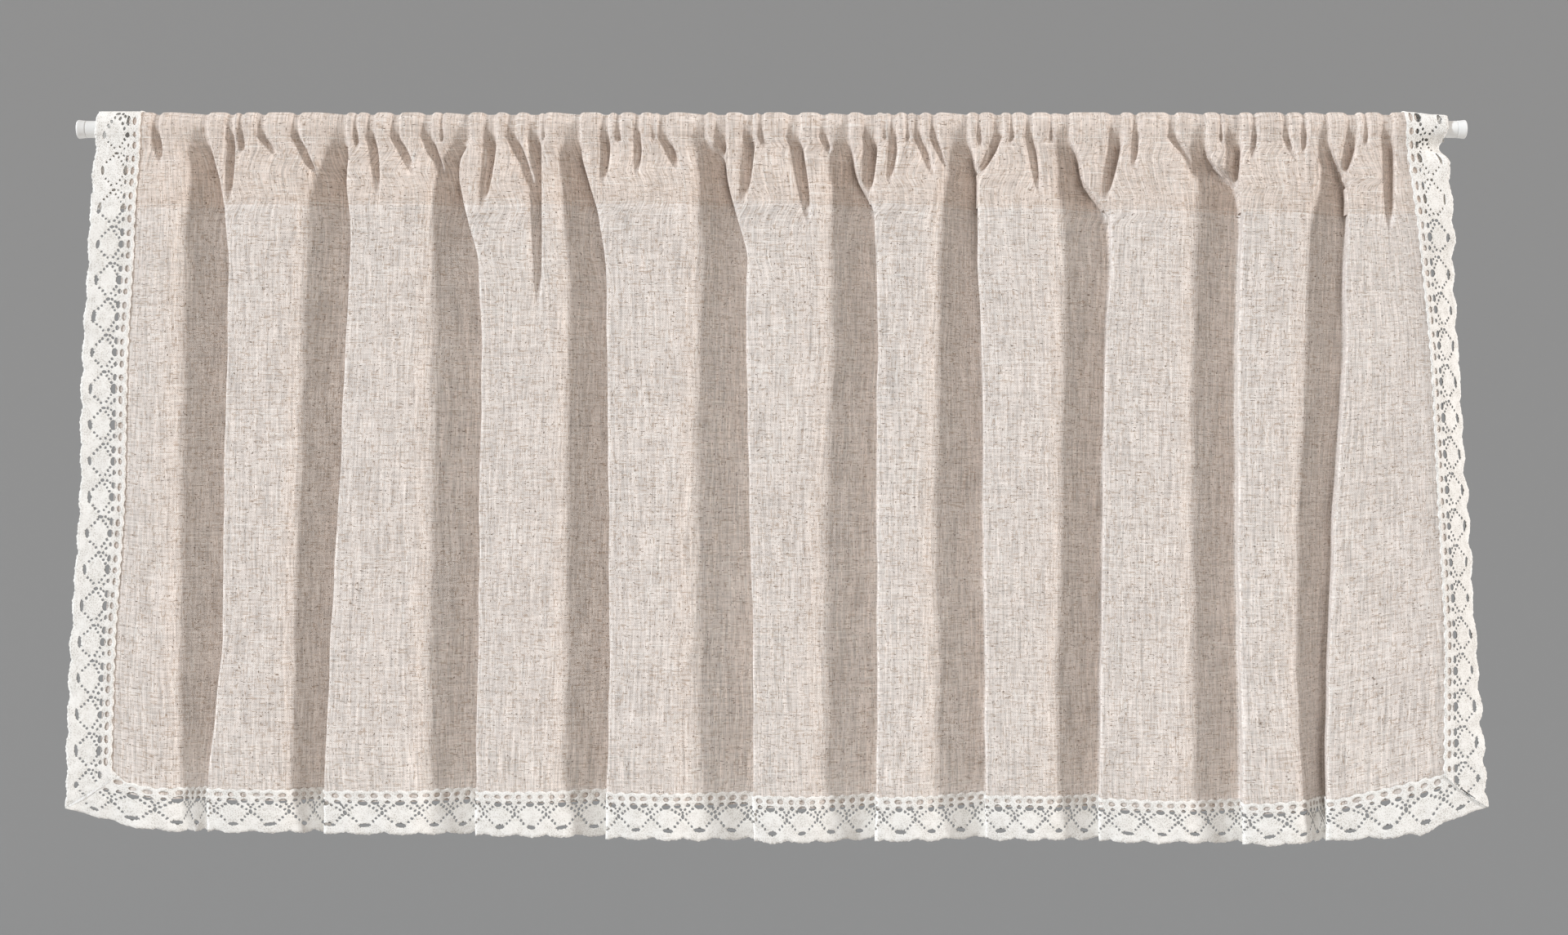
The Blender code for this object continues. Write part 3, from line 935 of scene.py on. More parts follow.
    def holes(self, span: Span) -> list[Array]:
        """The hole outlines that lie inside the strip, each a little uneven.

        Args:
            span: Where the strip starts and ends.

        Returns:
            The holes' outlines, as distances along and across.
        """
        draw = np.random.default_rng(self.seed)
        found = []
        first = math.floor((span.start - span.start_cut) / self.repeat) - 1
        last = math.ceil((span.end + span.end_cut) / self.repeat) + 1
        for number in range(first, last):
            for hole in lace_repeat():
                jitter = draw.uniform(-1.0, 1.0, 4)
                along = number * self.repeat + hole.along + self.along_jitter * jitter[0]
                across = hole.across + self.across_jitter * jitter[1]
                if hole.across < self.first_row:
                    corner = float(self.fillet(along - span.start, self.start_round))
                    across -= self.corner_follow * corner
                share = across / self.shape.lace_width
                margin = self.hole_margin + 0.5 * max(hole.long, hole.wide)
                low = span.start - span.start_cut * share + margin
                high = span.end + span.end_cut * share - margin
                if low < along < high:
                    found.append(self.ring(hole, along, across, jitter))
        return found

    def ring(self, hole: Hole, along: float, across: float, jitter: Array) -> Array:
        """The outline of one hole.

        Args:
            hole: The hole.
            along: Its place along the strip.
            across: Its distance from the inner edge.
            jitter: Four random numbers that make it uneven.

        Returns:
            The outline's points, as distances along and across.
        """
        turn = np.arange(hole.sides) * 2.0 * math.pi / hole.sides + self.hole_turn
        long = 0.5 * hole.long * (1.0 + self.size_jitter * jitter[2]) * np.cos(turn)
        wide = 0.5 * hole.wide * (1.0 + self.size_jitter * jitter[3]) * np.sin(turn)
        slant = hole.slant + self.slant_jitter * jitter[0]
        cos, sin = math.cos(slant), math.sin(slant)
        return np.stack([along + long * cos - wide * sin,
                         across + long * sin + wide * cos], axis=1)

    def triangulate(self, outline: Array,
                    holes: list[Array]) -> tuple[Array, list[Face], Array]:
        """Fill the outline round its holes.

        Args:
            outline: The strip's edge.
            holes: The holes' outlines.

        Returns:
            The points, the triangles, and each point's kind: 0 inside, 1 on the strip's
            edge and 2 on a hole's edge.
        """
        rings = [outline, *holes]
        low, high = outline.min(axis=0), outline.max(axis=0)
        columns, rows = (
            np.arange(low[axis] + self.grid_start[axis], high[axis], self.grid) for axis in (0, 1)
        )
        grid = np.stack(np.meshgrid(columns, rows), axis=2).reshape(-1, 2)
        grid[:, 0] += 0.5 * self.grid * (np.round(grid[:, 1] / self.grid) % 2)
        edge = np.concatenate(rings)
        collars = np.concatenate([self.widened(hole) for hole in holes])
        collars = collars[self.clear_of(edge, collars, self.collar_gap * self.collar)]
        taken = np.concatenate([edge, collars])
        grid = grid[self.clear_of(taken, grid, self.grid_gap)]
        points = np.concatenate([taken, grid])
        centre = 0.5 * (low + high)
        faces, start = [], 0
        for ring in rings:
            faces.append(list(range(start, start + len(ring))))
            start += len(ring)
        vectors = [Vector(point) for point in (points - centre)]
        filled = delaunay_2d_cdt(vectors, [], faces, 1, self.weld)
        out, _, triangles, _, _, owners = filled
        kept = [tuple(face) for face, owner in zip(triangles, owners) if list(owner) == [0]]
        used = np.unique(np.array(kept))
        number = np.full(len(out), -1)
        number[used] = np.arange(len(used))
        flat = np.array([tuple(out[index]) for index in used]) + centre
        faces = [tuple(int(number[index]) for index in face) for face in kept]
        kind = np.where(used < len(outline), 1, np.where(used < len(edge), 2, 0))
        return flat, faces, kind

    def widened(self, hole: Array) -> Array:
        """Draw a hole's outline a collar's width further out.

        Args:
            hole: The outline.

        Returns:
            The wider outline, of as many points.
        """
        spokes = hole - hole.mean(axis=0)
        length = np.linalg.norm(spokes, axis=1, keepdims=True)
        return hole + spokes / length * self.collar

    def clear_of(self, edge: Array, grid: Array, gap: float) -> Array:
        """Tell which grid points stand further than the gap from every edge point.

        Args:
            edge: The edge's points.
            grid: The grid's points.
            gap: The distance to keep.

        Returns:
            True for each grid point that is clear.
        """
        clear = np.ones(len(grid), bool)
        edge = edge[np.argsort(edge[:, 0])]
        lows = np.searchsorted(edge[:, 0], grid[:, 0] - gap)
        highs = np.searchsorted(edge[:, 0], grid[:, 0] + gap)
        for index, (low, high) in enumerate(zip(lows, highs)):
            near = edge[low:high] - grid[index]
            clear[index] = not len(near) or (near**2).sum(axis=1).min() > gap**2
        return clear

    def solid(self, maker: MeshMaker, finish: Material, span: Span,
              to_cloth: Callable[[Array, Array], tuple[Array, Array]]) -> bpy.types.Object:
        """Thicken the drawing into rounded cords and lay it on the cloth.

        Args:
            maker: The maker of objects.
            finish: The lace.
            span: Where the strip starts and ends.
            to_cloth: Turns along and across into the cloth's across and path.

        Returns:
            The strip's object.
        """
        flat, faces, kind = self.triangulate(self.outline(span), self.holes(span))
        along, across = flat[:, 0], flat[:, 1]
        from_mitre = (along + across - span.start) / math.sqrt(2.0)
        wave = self.flutter(along, across)
        wave += self.mitre_rise * bell(from_mitre, self.mitre_spread)
        puff = np.where(kind > 0, self.edge_puff, self.middle_puff) * self.thickness
        puff = puff + self.cord * bell(across - self.cord_place, self.cord_spread)
        cloth_across, path = to_cloth(along, across)
        under = self.under_share * self.thickness
        top = self.shape.place(cloth_across, path, self.lift + wave + puff)
        low = self.shape.place(cloth_across, path, self.lift + wave - under)
        count = len(flat)
        ends = {(face[step], face[(step + 1) % 3]) for face in faces for step in range(3)}
        walls = [(start, start + count, end + count, end)
                 for start, end in sorted(ends) if (end, start) not in ends]
        backs = [tuple(index + count for index in reversed(face)) for face in faces]
        faces = faces + backs + walls
        if self.faces_in(top, faces[:len(backs)]):
            faces = [tuple(reversed(face)) for face in faces]
        # Mark the holes' edges for painted shading, fainter where linen or a second layer of lace
        # lies behind them
        backed = across < self.backed_across
        backed |= np.abs(path - self.backed_path) < self.backed_reach
        rim_shading = np.where(kind == 2, np.where(backed, self.backed_rim_shading, 1.0), 0.0)
        marks = np.stack([along * LACE_REPEAT / self.repeat, across, rim_shading], axis=1)
        points, marks = np.concatenate([top, low]), np.concatenate([marks, marks])
        made = maker.add(self.name, points, faces, marks, finish)
        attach(made, BODY)
        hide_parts(self.node)
        return made

    def faces_in(self, top: Array, faces: list[Face]) -> bool:
        """Tell whether the drawing's triangles face into the cloth.

        Args:
            top: The points of the drawing's upper side.
            faces: Its triangles.

        Returns:
            True if the first third of the triangles face to the back on the whole.
        """
        first = top[np.array(faces[: len(faces) // 3])]
        normal = np.cross(first[:, 1] - first[:, 0], first[:, 2] - first[:, 0]).sum(axis=0)
        return bool(normal[1] > 0.0)


@dataclass
class BottomLace(LaceStrip):
    """The strip along the hem, mitred at both corners."""

    repeats: float = 50.0

    def build(self, maker: MeshMaker, finish: Material) -> bpy.types.Object:
        """Args:
            maker: The maker of objects.
            finish: The lace.

        Returns:
            The strip's object.
        """
        shape = self.shape
        wide = shape.lace_width
        start, end = wide, shape.width - wide
        self.repeat = (end - start) / self.repeats
        shift = start + 0.5 * self.repeat

        def to_cloth(along: Array, across: Array) -> tuple[Array, Array]:
            """Turn places on the strip into places on the cloth."""
            return along + shift, -(shape.inner_drop + across)

        span = Span(start - shift, end - shift, wide, wide)
        made = self.solid(maker, finish, span, to_cloth)
        return made


@dataclass
class SideLace(LaceStrip):
    """A strip up one side, over the rod and down behind the heading."""

    side: Side = Side.LEFT
    overlap: float = 0.8
    repeats: float = 17.72
    phase: float = 0.79

    def build(self, maker: MeshMaker, finish: Material) -> bpy.types.Object:
        """Args:
            maker: The maker of objects.
            finish: The lace.

        Returns:
            The strip's object.
        """
        shape = self.shape
        wide = shape.lace_width
        low, stitch, top = -shape.inner_drop, -shape.stitch_drop, float(shape.path[-1])
        self.repeat = (stitch - low) / self.repeats
        shift = low + self.phase * self.repeat

        def to_cloth(along: Array, across: Array) -> tuple[Array, Array]:
            """Turn places on the strip into places on the cloth."""
            place = wide - across if self.side is Side.LEFT else shape.width - wide + across
            return place, along + shift

        span = Span(low - self.overlap - shift, top - shift, wide, 0.0)
        made = self.solid(maker, finish, span, to_cloth)
        return made


@dataclass
class Stitching:
    """Two rows of white machine stitches across the heading."""

    shape: ClothShape
    pitch: float = 3.1
    stitch: float = 2.2
    radius: float = 0.22
    tip_share: float = 0.6
    sunk: float = 0.05
    rise: float = 0.28
    below_rod: float = 1.2
    above_seam: float = 1.6
    side_gap: float = 1.0
    rings: int = 3
    sides: int = 5

    def build(self, maker: MeshMaker, finish: Material) -> bpy.types.Object:
        """Make both rows as one piece.

        Args:
            maker: The maker of objects.
            finish: The thread.

        Returns:
            The stitches' object.
        """
        shape = self.shape
        edge = shape.lace_width + self.side_gap
        starts = np.arange(edge, shape.width - edge - self.stitch, self.pitch)
        points, faces = [], []
        for path in (-(shape.stitch_drop + self.below_rod), -(shape.seam_drop - self.above_seam)):
            for start in starts:
                self.one(start, path, points, faces)
        made = maker.add("heading_stitches", np.concatenate(points), faces, None, finish)
        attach(made, BODY)
        return made

    def one(self, start: float, path: float, points: list[Array], faces: list[Face]) -> None:
        """Add one stitch, a short thread that dips into the cloth at both ends.

        Args:
            start: The stitch's left end, as a flat distance across.
            path: Its path distance.
            points: The rings of points so far.
            faces: The faces so far.
        """
        shares = np.linspace(0.0, 1.0, self.rings)
        lift = self.sunk + self.rise * np.sin(math.pi * shares)
        middle = self.shape.place(start + shares * self.stitch, np.full(self.rings, path), lift)
        turn = np.arange(self.sides) * 2.0 * math.pi / self.sides
        first = len(points) * self.sides
        for index, centre in enumerate(middle):
            size = self.radius * (self.tip_share if index in (0, self.rings - 1) else 1.0)
            ring = np.stack([np.zeros(self.sides), np.cos(turn), np.sin(turn)], axis=1)
            points.append(centre + size * ring)
        faces += quads(self.rings, self.sides, first)
        faces.append(tuple(first + side for side in reversed(range(self.sides))))
        last = first + (self.rings - 1) * self.sides
        faces.append(tuple(last + side for side in range(self.sides)))


@dataclass
class RodCap:
    """A turned end cap, with its foot a little wider than its neck."""

    name: str
    node: str
    side: Side
    steps: int = 64
    sharp_angle: float = 50.0

    def outline(self) -> list[tuple[float, float]]:
        """The cap's section, as radius and height from its foot."""
        return [(0.0, 0.0), (5.6, 0.0), (6.9, 0.0), (7.35, 0.1), (7.6, 0.35), (7.7, 0.8),
                (7.66, 1.6), (7.5, 2.8), (7.32, 4.2), (7.2, 5.6), (7.15, 6.5), (7.05, 6.85),
                (6.8, 7.0), (0.0, 7.0)]

    def build(self, maker: MeshMaker, finish: Material) -> bpy.types.Object:
        """Turn the section about the rod's axis.

        Args:
            maker: The maker of objects.
            finish: The plastic.

        Returns:
            The cap's object.
        """
        low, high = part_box(self.node)
        left = self.side is Side.LEFT
        foot = (low if left else high)[0] / MM
        inward = 1.0 if left else -1.0
        section = self.outline()
        turns = np.arange(self.steps) * 2.0 * math.pi / self.steps
        points = [
            (foot + inward * height, radius * math.cos(turn), radius * math.sin(turn))
            for radius, height in section[1:-1]
            for turn in turns
        ]
        points += [(foot, 0.0, 0.0), (foot + inward * section[-1][1], 0.0, 0.0)]
        rings = len(section) - 2
        faces = quads(rings, self.steps)
        last = (rings - 1) * self.steps
        for step in range(self.steps):
            following = (step + 1) % self.steps
            faces.append((len(points) - 2, following, step))
            faces.append((last + step, last + following, len(points) - 1))
        if left:
            faces = [tuple(reversed(face)) for face in faces]
        made = maker.add(self.name, np.array(points), faces, None, finish)
        made.data.set_sharp_from_angle(angle=math.radians(self.sharp_angle))
        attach(made, BODY)
        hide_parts(self.node)
        return made


class NodeBench:
    """Short ways to add shader nodes and join them."""

    def __init__(self, tree: bpy.types.NodeTree) -> None:
        """Keep the tree that the nodes go in."""
        self.tree = tree

    def node(self, kind: str, **settings: object) -> bpy.types.Node:
        """Add a node.

        Args:
            kind: The node's type.
            **settings: Its properties.

        Returns:
            The node.
        """
        made = self.tree.nodes.new(kind)
        for key, value in settings.items():
            setattr(made, key, value)
        return made

    def join(self, source: Socket, target: Socket) -> None:
        """Join two sockets."""
        self.tree.links.new(source, target)

    def feed(self, target: Socket, value: object) -> None:
        """Give a socket its input.

        Args:
            target: The socket.
            value: Another socket to join it to, or a plain value.
        """
        if isinstance(value, Socket):
            self.join(value, target)
        else:
            target.default_value = value

    def math(self, operation: str, first: object, second: object = 0.0) -> Socket:
        """Add a sum.

        Args:
            operation: What is done with the values.
            first: A socket or a number.
            second: Another one.

        Returns:
            The result.
        """
        made = self.node("ShaderNodeMath", operation=operation)
        self.feed(made.inputs[0], first)
        self.feed(made.inputs[1], second)
        return made.outputs[0]

    def ramp(self, value: object, low: float, high: float, start: float = 0.0,
             end: float = 1.0) -> Socket:
        """Map a value smoothly from one range to another.

        Args:
            value: The value.
            low: Where its range starts.
            high: Where its range ends.
            start: The result at the range's start.
            end: The result at the range's end.

        Returns:
            The mapped value.
        """
        made = self.node("ShaderNodeMapRange", interpolation_type="SMOOTHSTEP")
        for socket, number in zip(made.inputs[1:5], (low, high, start, end)):
            socket.default_value = number
        self.feed(made.inputs[0], value)
        return made.outputs[0]

    def mix(self, share: object, first: object, second: object) -> Socket:
        """Mix two colours.

        Args:
            share: The second colour's share.
            first: The first colour.
            second: The second colour.

        Returns:
            The mixed colour.
        """
        made = self.node("ShaderNodeMix", data_type="RGBA")
        for number, value in ((0, share), (6, first), (7, second)):
            self.feed(made.inputs[number], value)
        return made.outputs[2]

    def noise(self, vector: Socket, scale: Triple, detail: float, shift: float = 0.0) -> Socket:
        """Add noise stretched by its own scale along each axis of the flat cloth.

        Args:
            vector: The place on the cloth.
            scale: The scale along each axis.
            detail: How much fine noise is added to the coarse.
            shift: Where in the noise it starts, so that no two look alike.

        Returns:
            The noise, from 0 to 1.
        """
        mapping = self.node("ShaderNodeMapping")
        mapping.inputs["Scale"].default_value = scale
        mapping.inputs["Location"].default_value = (shift, 0.7 * shift, 0.3 * shift)
        self.join(vector, mapping.inputs["Vector"])
        made = self.node("ShaderNodeTexNoise")
        made.inputs["Scale"].default_value = 1.0
        made.inputs["Detail"].default_value = detail
        self.join(mapping.outputs["Vector"], made.inputs["Vector"])
        return made.outputs["Fac"]

    def bump(self, height: Socket, strength: float, depth: float) -> Socket:
        """Turn a height into a normal.

        Args:
            height: The height, from 0 to 1.
            strength: How strongly it shows.
            depth: How deep it is, in mm.

        Returns:
            The normal.
        """
        made = self.node("ShaderNodeBump")
        made.inputs["Strength"].default_value = strength
        made.inputs["Distance"].default_value = depth * MM
        self.join(height, made.inputs["Height"])
        return made.outputs["Normal"]


def new_group(name: str, inputs: dict[str, str],
              outputs: tuple[str, ...]) -> tuple[NodeBench, bpy.types.Node, bpy.types.Node]:
    """Open a node group.

    Args:
        name: Its name.
        inputs: Its inputs' names and kinds of socket.
        outputs: The names of its outputs, all plain values.

    Returns:
        A bench on its nodes, its input node and its output node.
    """
    tree = bpy.data.node_groups.new(name, "ShaderNodeTree")
    for label, kind in inputs.items():
        tree.interface.new_socket(label, in_out="INPUT", socket_type=kind)
    for label in outputs:
        tree.interface.new_socket(label, in_out="OUTPUT", socket_type="NodeSocketFloat")
    bench = NodeBench(tree)
    return bench, bench.node("NodeGroupInput"), bench.node("NodeGroupOutput")


@dataclass(frozen=True)
class Streak:
    """Noise drawn out along a thread: its width and length in mm, detail and shift."""

    width: float
    length: float
    detail: float
    shift: float
    weft_shift: float = 37.0

    def draw(self, bench: NodeBench, flat: Socket, thread: Thread) -> Socket:
        """Draw the noise along the threads that run one way.

        Args:
            bench: The bench of the group.
            flat: The place on the flat cloth.
            thread: The way the threads run.

        Returns:
            The noise, from 0 to 1.
        """
        thin, long = 1.0 / self.width, 1.0 / self.length
        if thread is Thread.WARP:
            return bench.noise(flat, (thin, long, 1.0), self.detail, self.shift)
        return bench.noise(flat, (long, thin, 1.0), self.detail, self.shift + self.weft_shift)


class ThreadGroup:
    """A node group that draws the uneven threads of a plain weave."""

    # The threads' fine and broad unevenness, and its contrast
    FINE = {Thread.WARP: Streak(0.7, 20.0, 1.0, 11.0), Thread.WEFT: Streak(0.7, 9.0, 1.0, 11.0)}
    BROAD = Streak(2.3, 45.0, 2.0, 3.0)
    CONTRAST = {Thread.WARP: 1.1, Thread.WEFT: 0.62}
    # The slubs of each colour, and the noise at which they start and are full
    SLUBS = {
        "Brown": (Streak(0.8, 5.0, 0.0, 71.0), 0.65, 0.75),
        "Black": (Streak(0.75, 2.8, 0.0, 131.0), 0.76, 0.8),
        "Pale": (Streak(1.0, 22.0, 0.0, 191.0), 0.69, 0.76),
    }
    TONE_RELIEF = 0.9
    # How far the threads wander off their straight lines
    WANDER = 2.0
    WANDER_SCALE = (0.12, 0.12, 1.0)

    @classmethod
    def make(cls) -> bpy.types.NodeTree:
        """Build the group.

        Returns:
            The group, with the weave's height, its light and dark, and its slubs.
        """
        sockets = {"Flat": "NodeSocketVector", "Pitch": "NodeSocketFloat"}
        names = ("Height", "Tone", *cls.SLUBS)
        bench, inputs, outputs = new_group("weave threads", sockets, names)
        flat = inputs.outputs["Flat"]
        tone = bench.math("ADD", *(cls.tone(bench, flat, thread) for thread in Thread))
        bands = cls.bands(bench, flat, inputs.outputs["Pitch"])
        height = bench.math("ADD", bands, bench.math("MULTIPLY", tone, cls.TONE_RELIEF))
        bench.join(height, outputs.inputs["Height"])
        bench.join(tone, outputs.inputs["Tone"])
        for name, (streak, low, high) in cls.SLUBS.items():
            ways = [bench.ramp(streak.draw(bench, flat, thread), low, high) for thread in Thread]
            bench.join(bench.math("MAXIMUM", *ways), outputs.inputs[name])
        return bench.tree

    @classmethod
    def tone(cls, bench: NodeBench, flat: Socket, thread: Thread) -> Socket:
        """Draw the light and dark of the threads that run one way.

        Args:
            bench: The bench of the group.
            flat: The place on the flat cloth.
            thread: The way the threads run.

        Returns:
            The tone, about 0 on the whole.
        """
        tones = []
        for streak in (cls.FINE[thread], cls.BROAD):
            even = bench.math("SUBTRACT", streak.draw(bench, flat, thread), 0.5)
            tones.append(bench.math("MULTIPLY", even, cls.CONTRAST[thread]))
        return bench.math("ADD", *tones)

    @classmethod
    def bands(cls, bench: NodeBench, flat: Socket, pitch: Socket) -> Socket:
        """Draw the over and under of the weave as a small height.

        Args:
            bench: The bench of the group.
            flat: The place on the flat cloth.
            pitch: The distance of the threads.

        Returns:
            The height, from -1 to 1.
        """
        split = bench.node("ShaderNodeSeparateXYZ")
        bench.join(flat, split.inputs[0])
        waves = []
        for axis in (0, 1):
            wander = bench.noise(flat, cls.WANDER_SCALE, 1.0, 5.0 + axis)
            drift = bench.math("MULTIPLY", wander, cls.WANDER)
            place = bench.math("ADD", split.outputs[axis], drift)
            turn = bench.math("MULTIPLY", bench.math("DIVIDE", place, pitch), math.pi)
            waves.append(bench.math("SINE", turn))
        return bench.math("MULTIPLY", *waves)


class DrawingGroup:
    """A node group that draws the threads and the finest gaps of the lace."""

    # The ranges below are a value's low and high end, and what it becomes at both
    # The middle of the diamonds, and the pitch and strength of the thread rows round it
    DIAMOND_ACROSS = 19.5
    ROW_PITCH = 1.9
    ROW_SHARE = 0.5
    ROW_RANGE = (0.55, 1.0)
    # The pinholes' number for each mm, and how unevenly they lie
    PIN_SCALE = 0.52
    PIN_RANDOM = 0.8
    PIN_RANGE = (0.10, 0.34, 0.9, 0.0)
    # The scales of the cotton's fuzz and of the patches that show more or fewer gaps
    FUZZ = (1.3, 1.3, 1.0)
    FUZZ_RELIEF = 0.9
    SPECKLE_RANGE = (0.52, 0.72, 0.0, 0.45)
    PATCHES = (0.16, 0.2, 1.0)
    PATCH_RANGE = (0.35, 0.65, 0.35, 1.0)
    # The mark's range over which the holes' edges are painted dark as shading
    RIM_SHADING_RANGE = (0.25, 0.85)
    # More whole repeats than the strip has before its start, so that no place is below 0
    BEFORE = 40.5

    @classmethod
    def make(cls) -> bpy.types.NodeTree:
        """Build the group.

        Returns:
            The group, with the lace's height, its finest gaps with random specks, and the edges
            of its holes; gaps and edges are masks for painted shading.
        """
        names = ("Height", "Gaps", "RimShading")
        bench, inputs, outputs = new_group("lace drawing", {"Flat": "NodeSocketVector"}, names)
        flat = inputs.outputs["Flat"]
        split = bench.node("ShaderNodeSeparateXYZ")
        bench.join(flat, split.inputs[0])
        along, across, rim_shading = split.outputs
        fans = bench.ramp(cls.fans(bench, along, across), *cls.ROW_RANGE)
        fuzz = bench.noise(flat, cls.FUZZ, 2.0, 2.0)
        patches = bench.ramp(bench.noise(flat, cls.PATCHES, 2.0, 15.0), *cls.PATCH_RANGE)
        rows = bench.math("MULTIPLY", fans, cls.ROW_SHARE)
        gaps = bench.math("MAXIMUM", rows, cls.pinholes(bench, flat))
        gaps = bench.math("MULTIPLY", gaps, patches)
        speckle = bench.ramp(fuzz, *cls.SPECKLE_RANGE)
        # The gaps' mask for painted shading takes in the random specks too
        bench.join(bench.math("MAXIMUM", gaps, speckle), outputs.inputs["Gaps"])
        height = bench.math("SUBTRACT", bench.math("MULTIPLY", fuzz, cls.FUZZ_RELIEF), gaps)
        bench.join(height, outputs.inputs["Height"])
        bench.join(bench.ramp(rim_shading, *cls.RIM_SHADING_RANGE), outputs.inputs["RimShading"])
        return bench.tree

    @classmethod
    def fans(cls, bench: NodeBench, along: Socket, across: Socket) -> Socket:
        """Draw the rows of threads that curve round each diamond's middle.

        Args:
            bench: The bench of the group.
            along: The place along the strip.
            across: The distance from its inner edge.

        Returns:
            The rows, 0 on a thread and 1 between two threads.
        """
        start = bench.math("ADD", along, cls.BEFORE * LACE_REPEAT)
        turn = bench.math("SUBTRACT", bench.math("MODULO", start, LACE_REPEAT), 0.5 * LACE_REPEAT)
        side = bench.math("SUBTRACT", across, cls.DIAMOND_ACROSS)
        squares = bench.math("ADD", bench.math("MULTIPLY", turn, turn),
                             bench.math("MULTIPLY", side, side))
        radius = bench.math("SQRT", squares)
        wave = bench.math("SINE", bench.math("MULTIPLY", radius, 2.0 * math.pi / cls.ROW_PITCH))
        return bench.math("ABSOLUTE", wave)

    @classmethod
    def pinholes(cls, bench: NodeBench, flat: Socket) -> Socket:
        """Draw the finest gaps between the threads.

        Args:
            bench: The bench of the group.
            flat: The place on the flat strip.

        Returns:
            The gaps, largest at a pinhole's middle.
        """
        cells = bench.node("ShaderNodeTexVoronoi", voronoi_dimensions="2D")
        cells.inputs["Scale"].default_value = cls.PIN_SCALE
        cells.inputs["Randomness"].default_value = cls.PIN_RANDOM
        bench.join(flat, cells.inputs["Vector"])
        return bench.ramp(cells.outputs["Distance"], *cls.PIN_RANGE)


def new_material(name: str, roughness: float) -> tuple[Material, NodeBench, bpy.types.Node]:
    """Open a material.

    Args:
        name: Its name.
        roughness: Its roughness.

    Returns:
        The material, a bench on its nodes, and its shader.
    """
    made = bpy.data.materials.new(name)
    made.use_nodes = True
    shader = made.node_tree.nodes["Principled BSDF"]
    shader.inputs["Roughness"].default_value = roughness
    return made, NodeBench(made.node_tree), shader


@dataclass(frozen=True)
class ClothFinish:
    """The matt, slightly fuzzy surface of linen and lace, drawn on the flat cloth."""

    name: str
    roughness: float
    sheen: float
    fuzz: float
    relief: float
    depth: float
    specular: float = 0.2

    def begin(self, group: bpy.types.NodeTree) -> tuple[
            Material, NodeBench, bpy.types.Node, bpy.types.Node, Socket]:
        """Open the material and lay a group's drawing on it.

        Args:
            group: The group, with the flat place among its inputs and a height to show.

        Returns:
            The material, a bench on its nodes, its shader, the group's node and the flat
            place.
        """
        made, bench, shader = new_material(self.name, self.roughness)
        shader.inputs["Sheen Weight"].default_value = self.sheen
        shader.inputs["Sheen Roughness"].default_value = self.fuzz
        shader.inputs["Specular IOR Level"].default_value = self.specular
        flat = bench.node("ShaderNodeAttribute", attribute_name="flat").outputs["Vector"]
        drawn = bench.node("ShaderNodeGroup", node_tree=group)
        bench.join(flat, drawn.inputs["Flat"])
        normal = bench.bump(drawn.outputs["Height"], self.relief, self.depth)
        bench.join(normal, shader.inputs["Normal"])
        return made, bench, shader, drawn, flat


@dataclass(frozen=True)
class LinenFinish(ClothFinish):
    """Natural linen with brown and pale slubs, painted darker and warmer as shading where the
    heading has two layers and lets less light through.
    """

    name: str = "natural_linen"
    roughness: float = 0.92
    sheen: float = 0.12
    fuzz: float = 0.6
    relief: float = 0.35
    depth: float = 0.25
    pitch: float = 0.9
    single: Colour = (0.700, 0.636, 0.592, 1.0)
    double_layer_shading: Colour = (0.675, 0.587, 0.528, 1.0)
    # The slubs' colours, and how strongly each of them shows
    slubs: tuple[tuple[str, Colour, float], ...] = (
        ("Pale", (0.90, 0.87, 0.83, 1.0), 0.45),
        ("Brown", (0.34, 0.225, 0.14, 1.0), 0.5),
        ("Black", (0.15, 0.105, 0.075, 1.0), 0.85),
    )
    tone: float = 0.7
    mottle: float = 0.10
    mottle_scale: Triple = (0.012, 0.010, 1.0)
    # How far the painted darker, warmer shading of the heading reaches past the seam, and where
    # it is full
    seam_fade: tuple[float, float] = (0.8, 0.4)

    def make(self, seam_drop: float) -> Material:
        """Build the material.

        Args:
            seam_drop: How far down the cloth has two layers.

        Returns:
            The material.
        """
        made, bench, shader, threads, flat = self.begin(ThreadGroup.make())
        threads.inputs["Pitch"].default_value = self.pitch
        split = bench.node("ShaderNodeSeparateXYZ")
        bench.join(flat, split.inputs[0])
        # The heading's share, where the linen is painted darker and warmer as shading
        below, above = self.seam_fade
        heading = bench.ramp(split.outputs[1], -seam_drop - below, -seam_drop + above)
        cloud = bench.noise(flat, self.mottle_scale, 3.0, 9.0)
        tone = bench.math("MULTIPLY", threads.outputs["Tone"], self.tone)
        mottle = bench.math("MULTIPLY", bench.math("SUBTRACT", cloud, 0.5), self.mottle)
        lighter = bench.node("ShaderNodeHueSaturation")
        # Paint the heading darker and warmer as shading for the light that passes less through
        # two layers
        bench.join(bench.mix(heading, self.single, self.double_layer_shading), lighter.inputs["Color"])
        value = bench.math("ADD", bench.math("ADD", tone, mottle), 1.0)
        bench.join(value, lighter.inputs["Value"])
        colour = lighter.outputs["Color"]
        for name, slub, strength in self.slubs:
            share = bench.math("MULTIPLY", threads.outputs[name], strength)
            colour = bench.mix(share, colour, slub)
        bench.join(colour, shader.inputs["Base Color"])
        return made


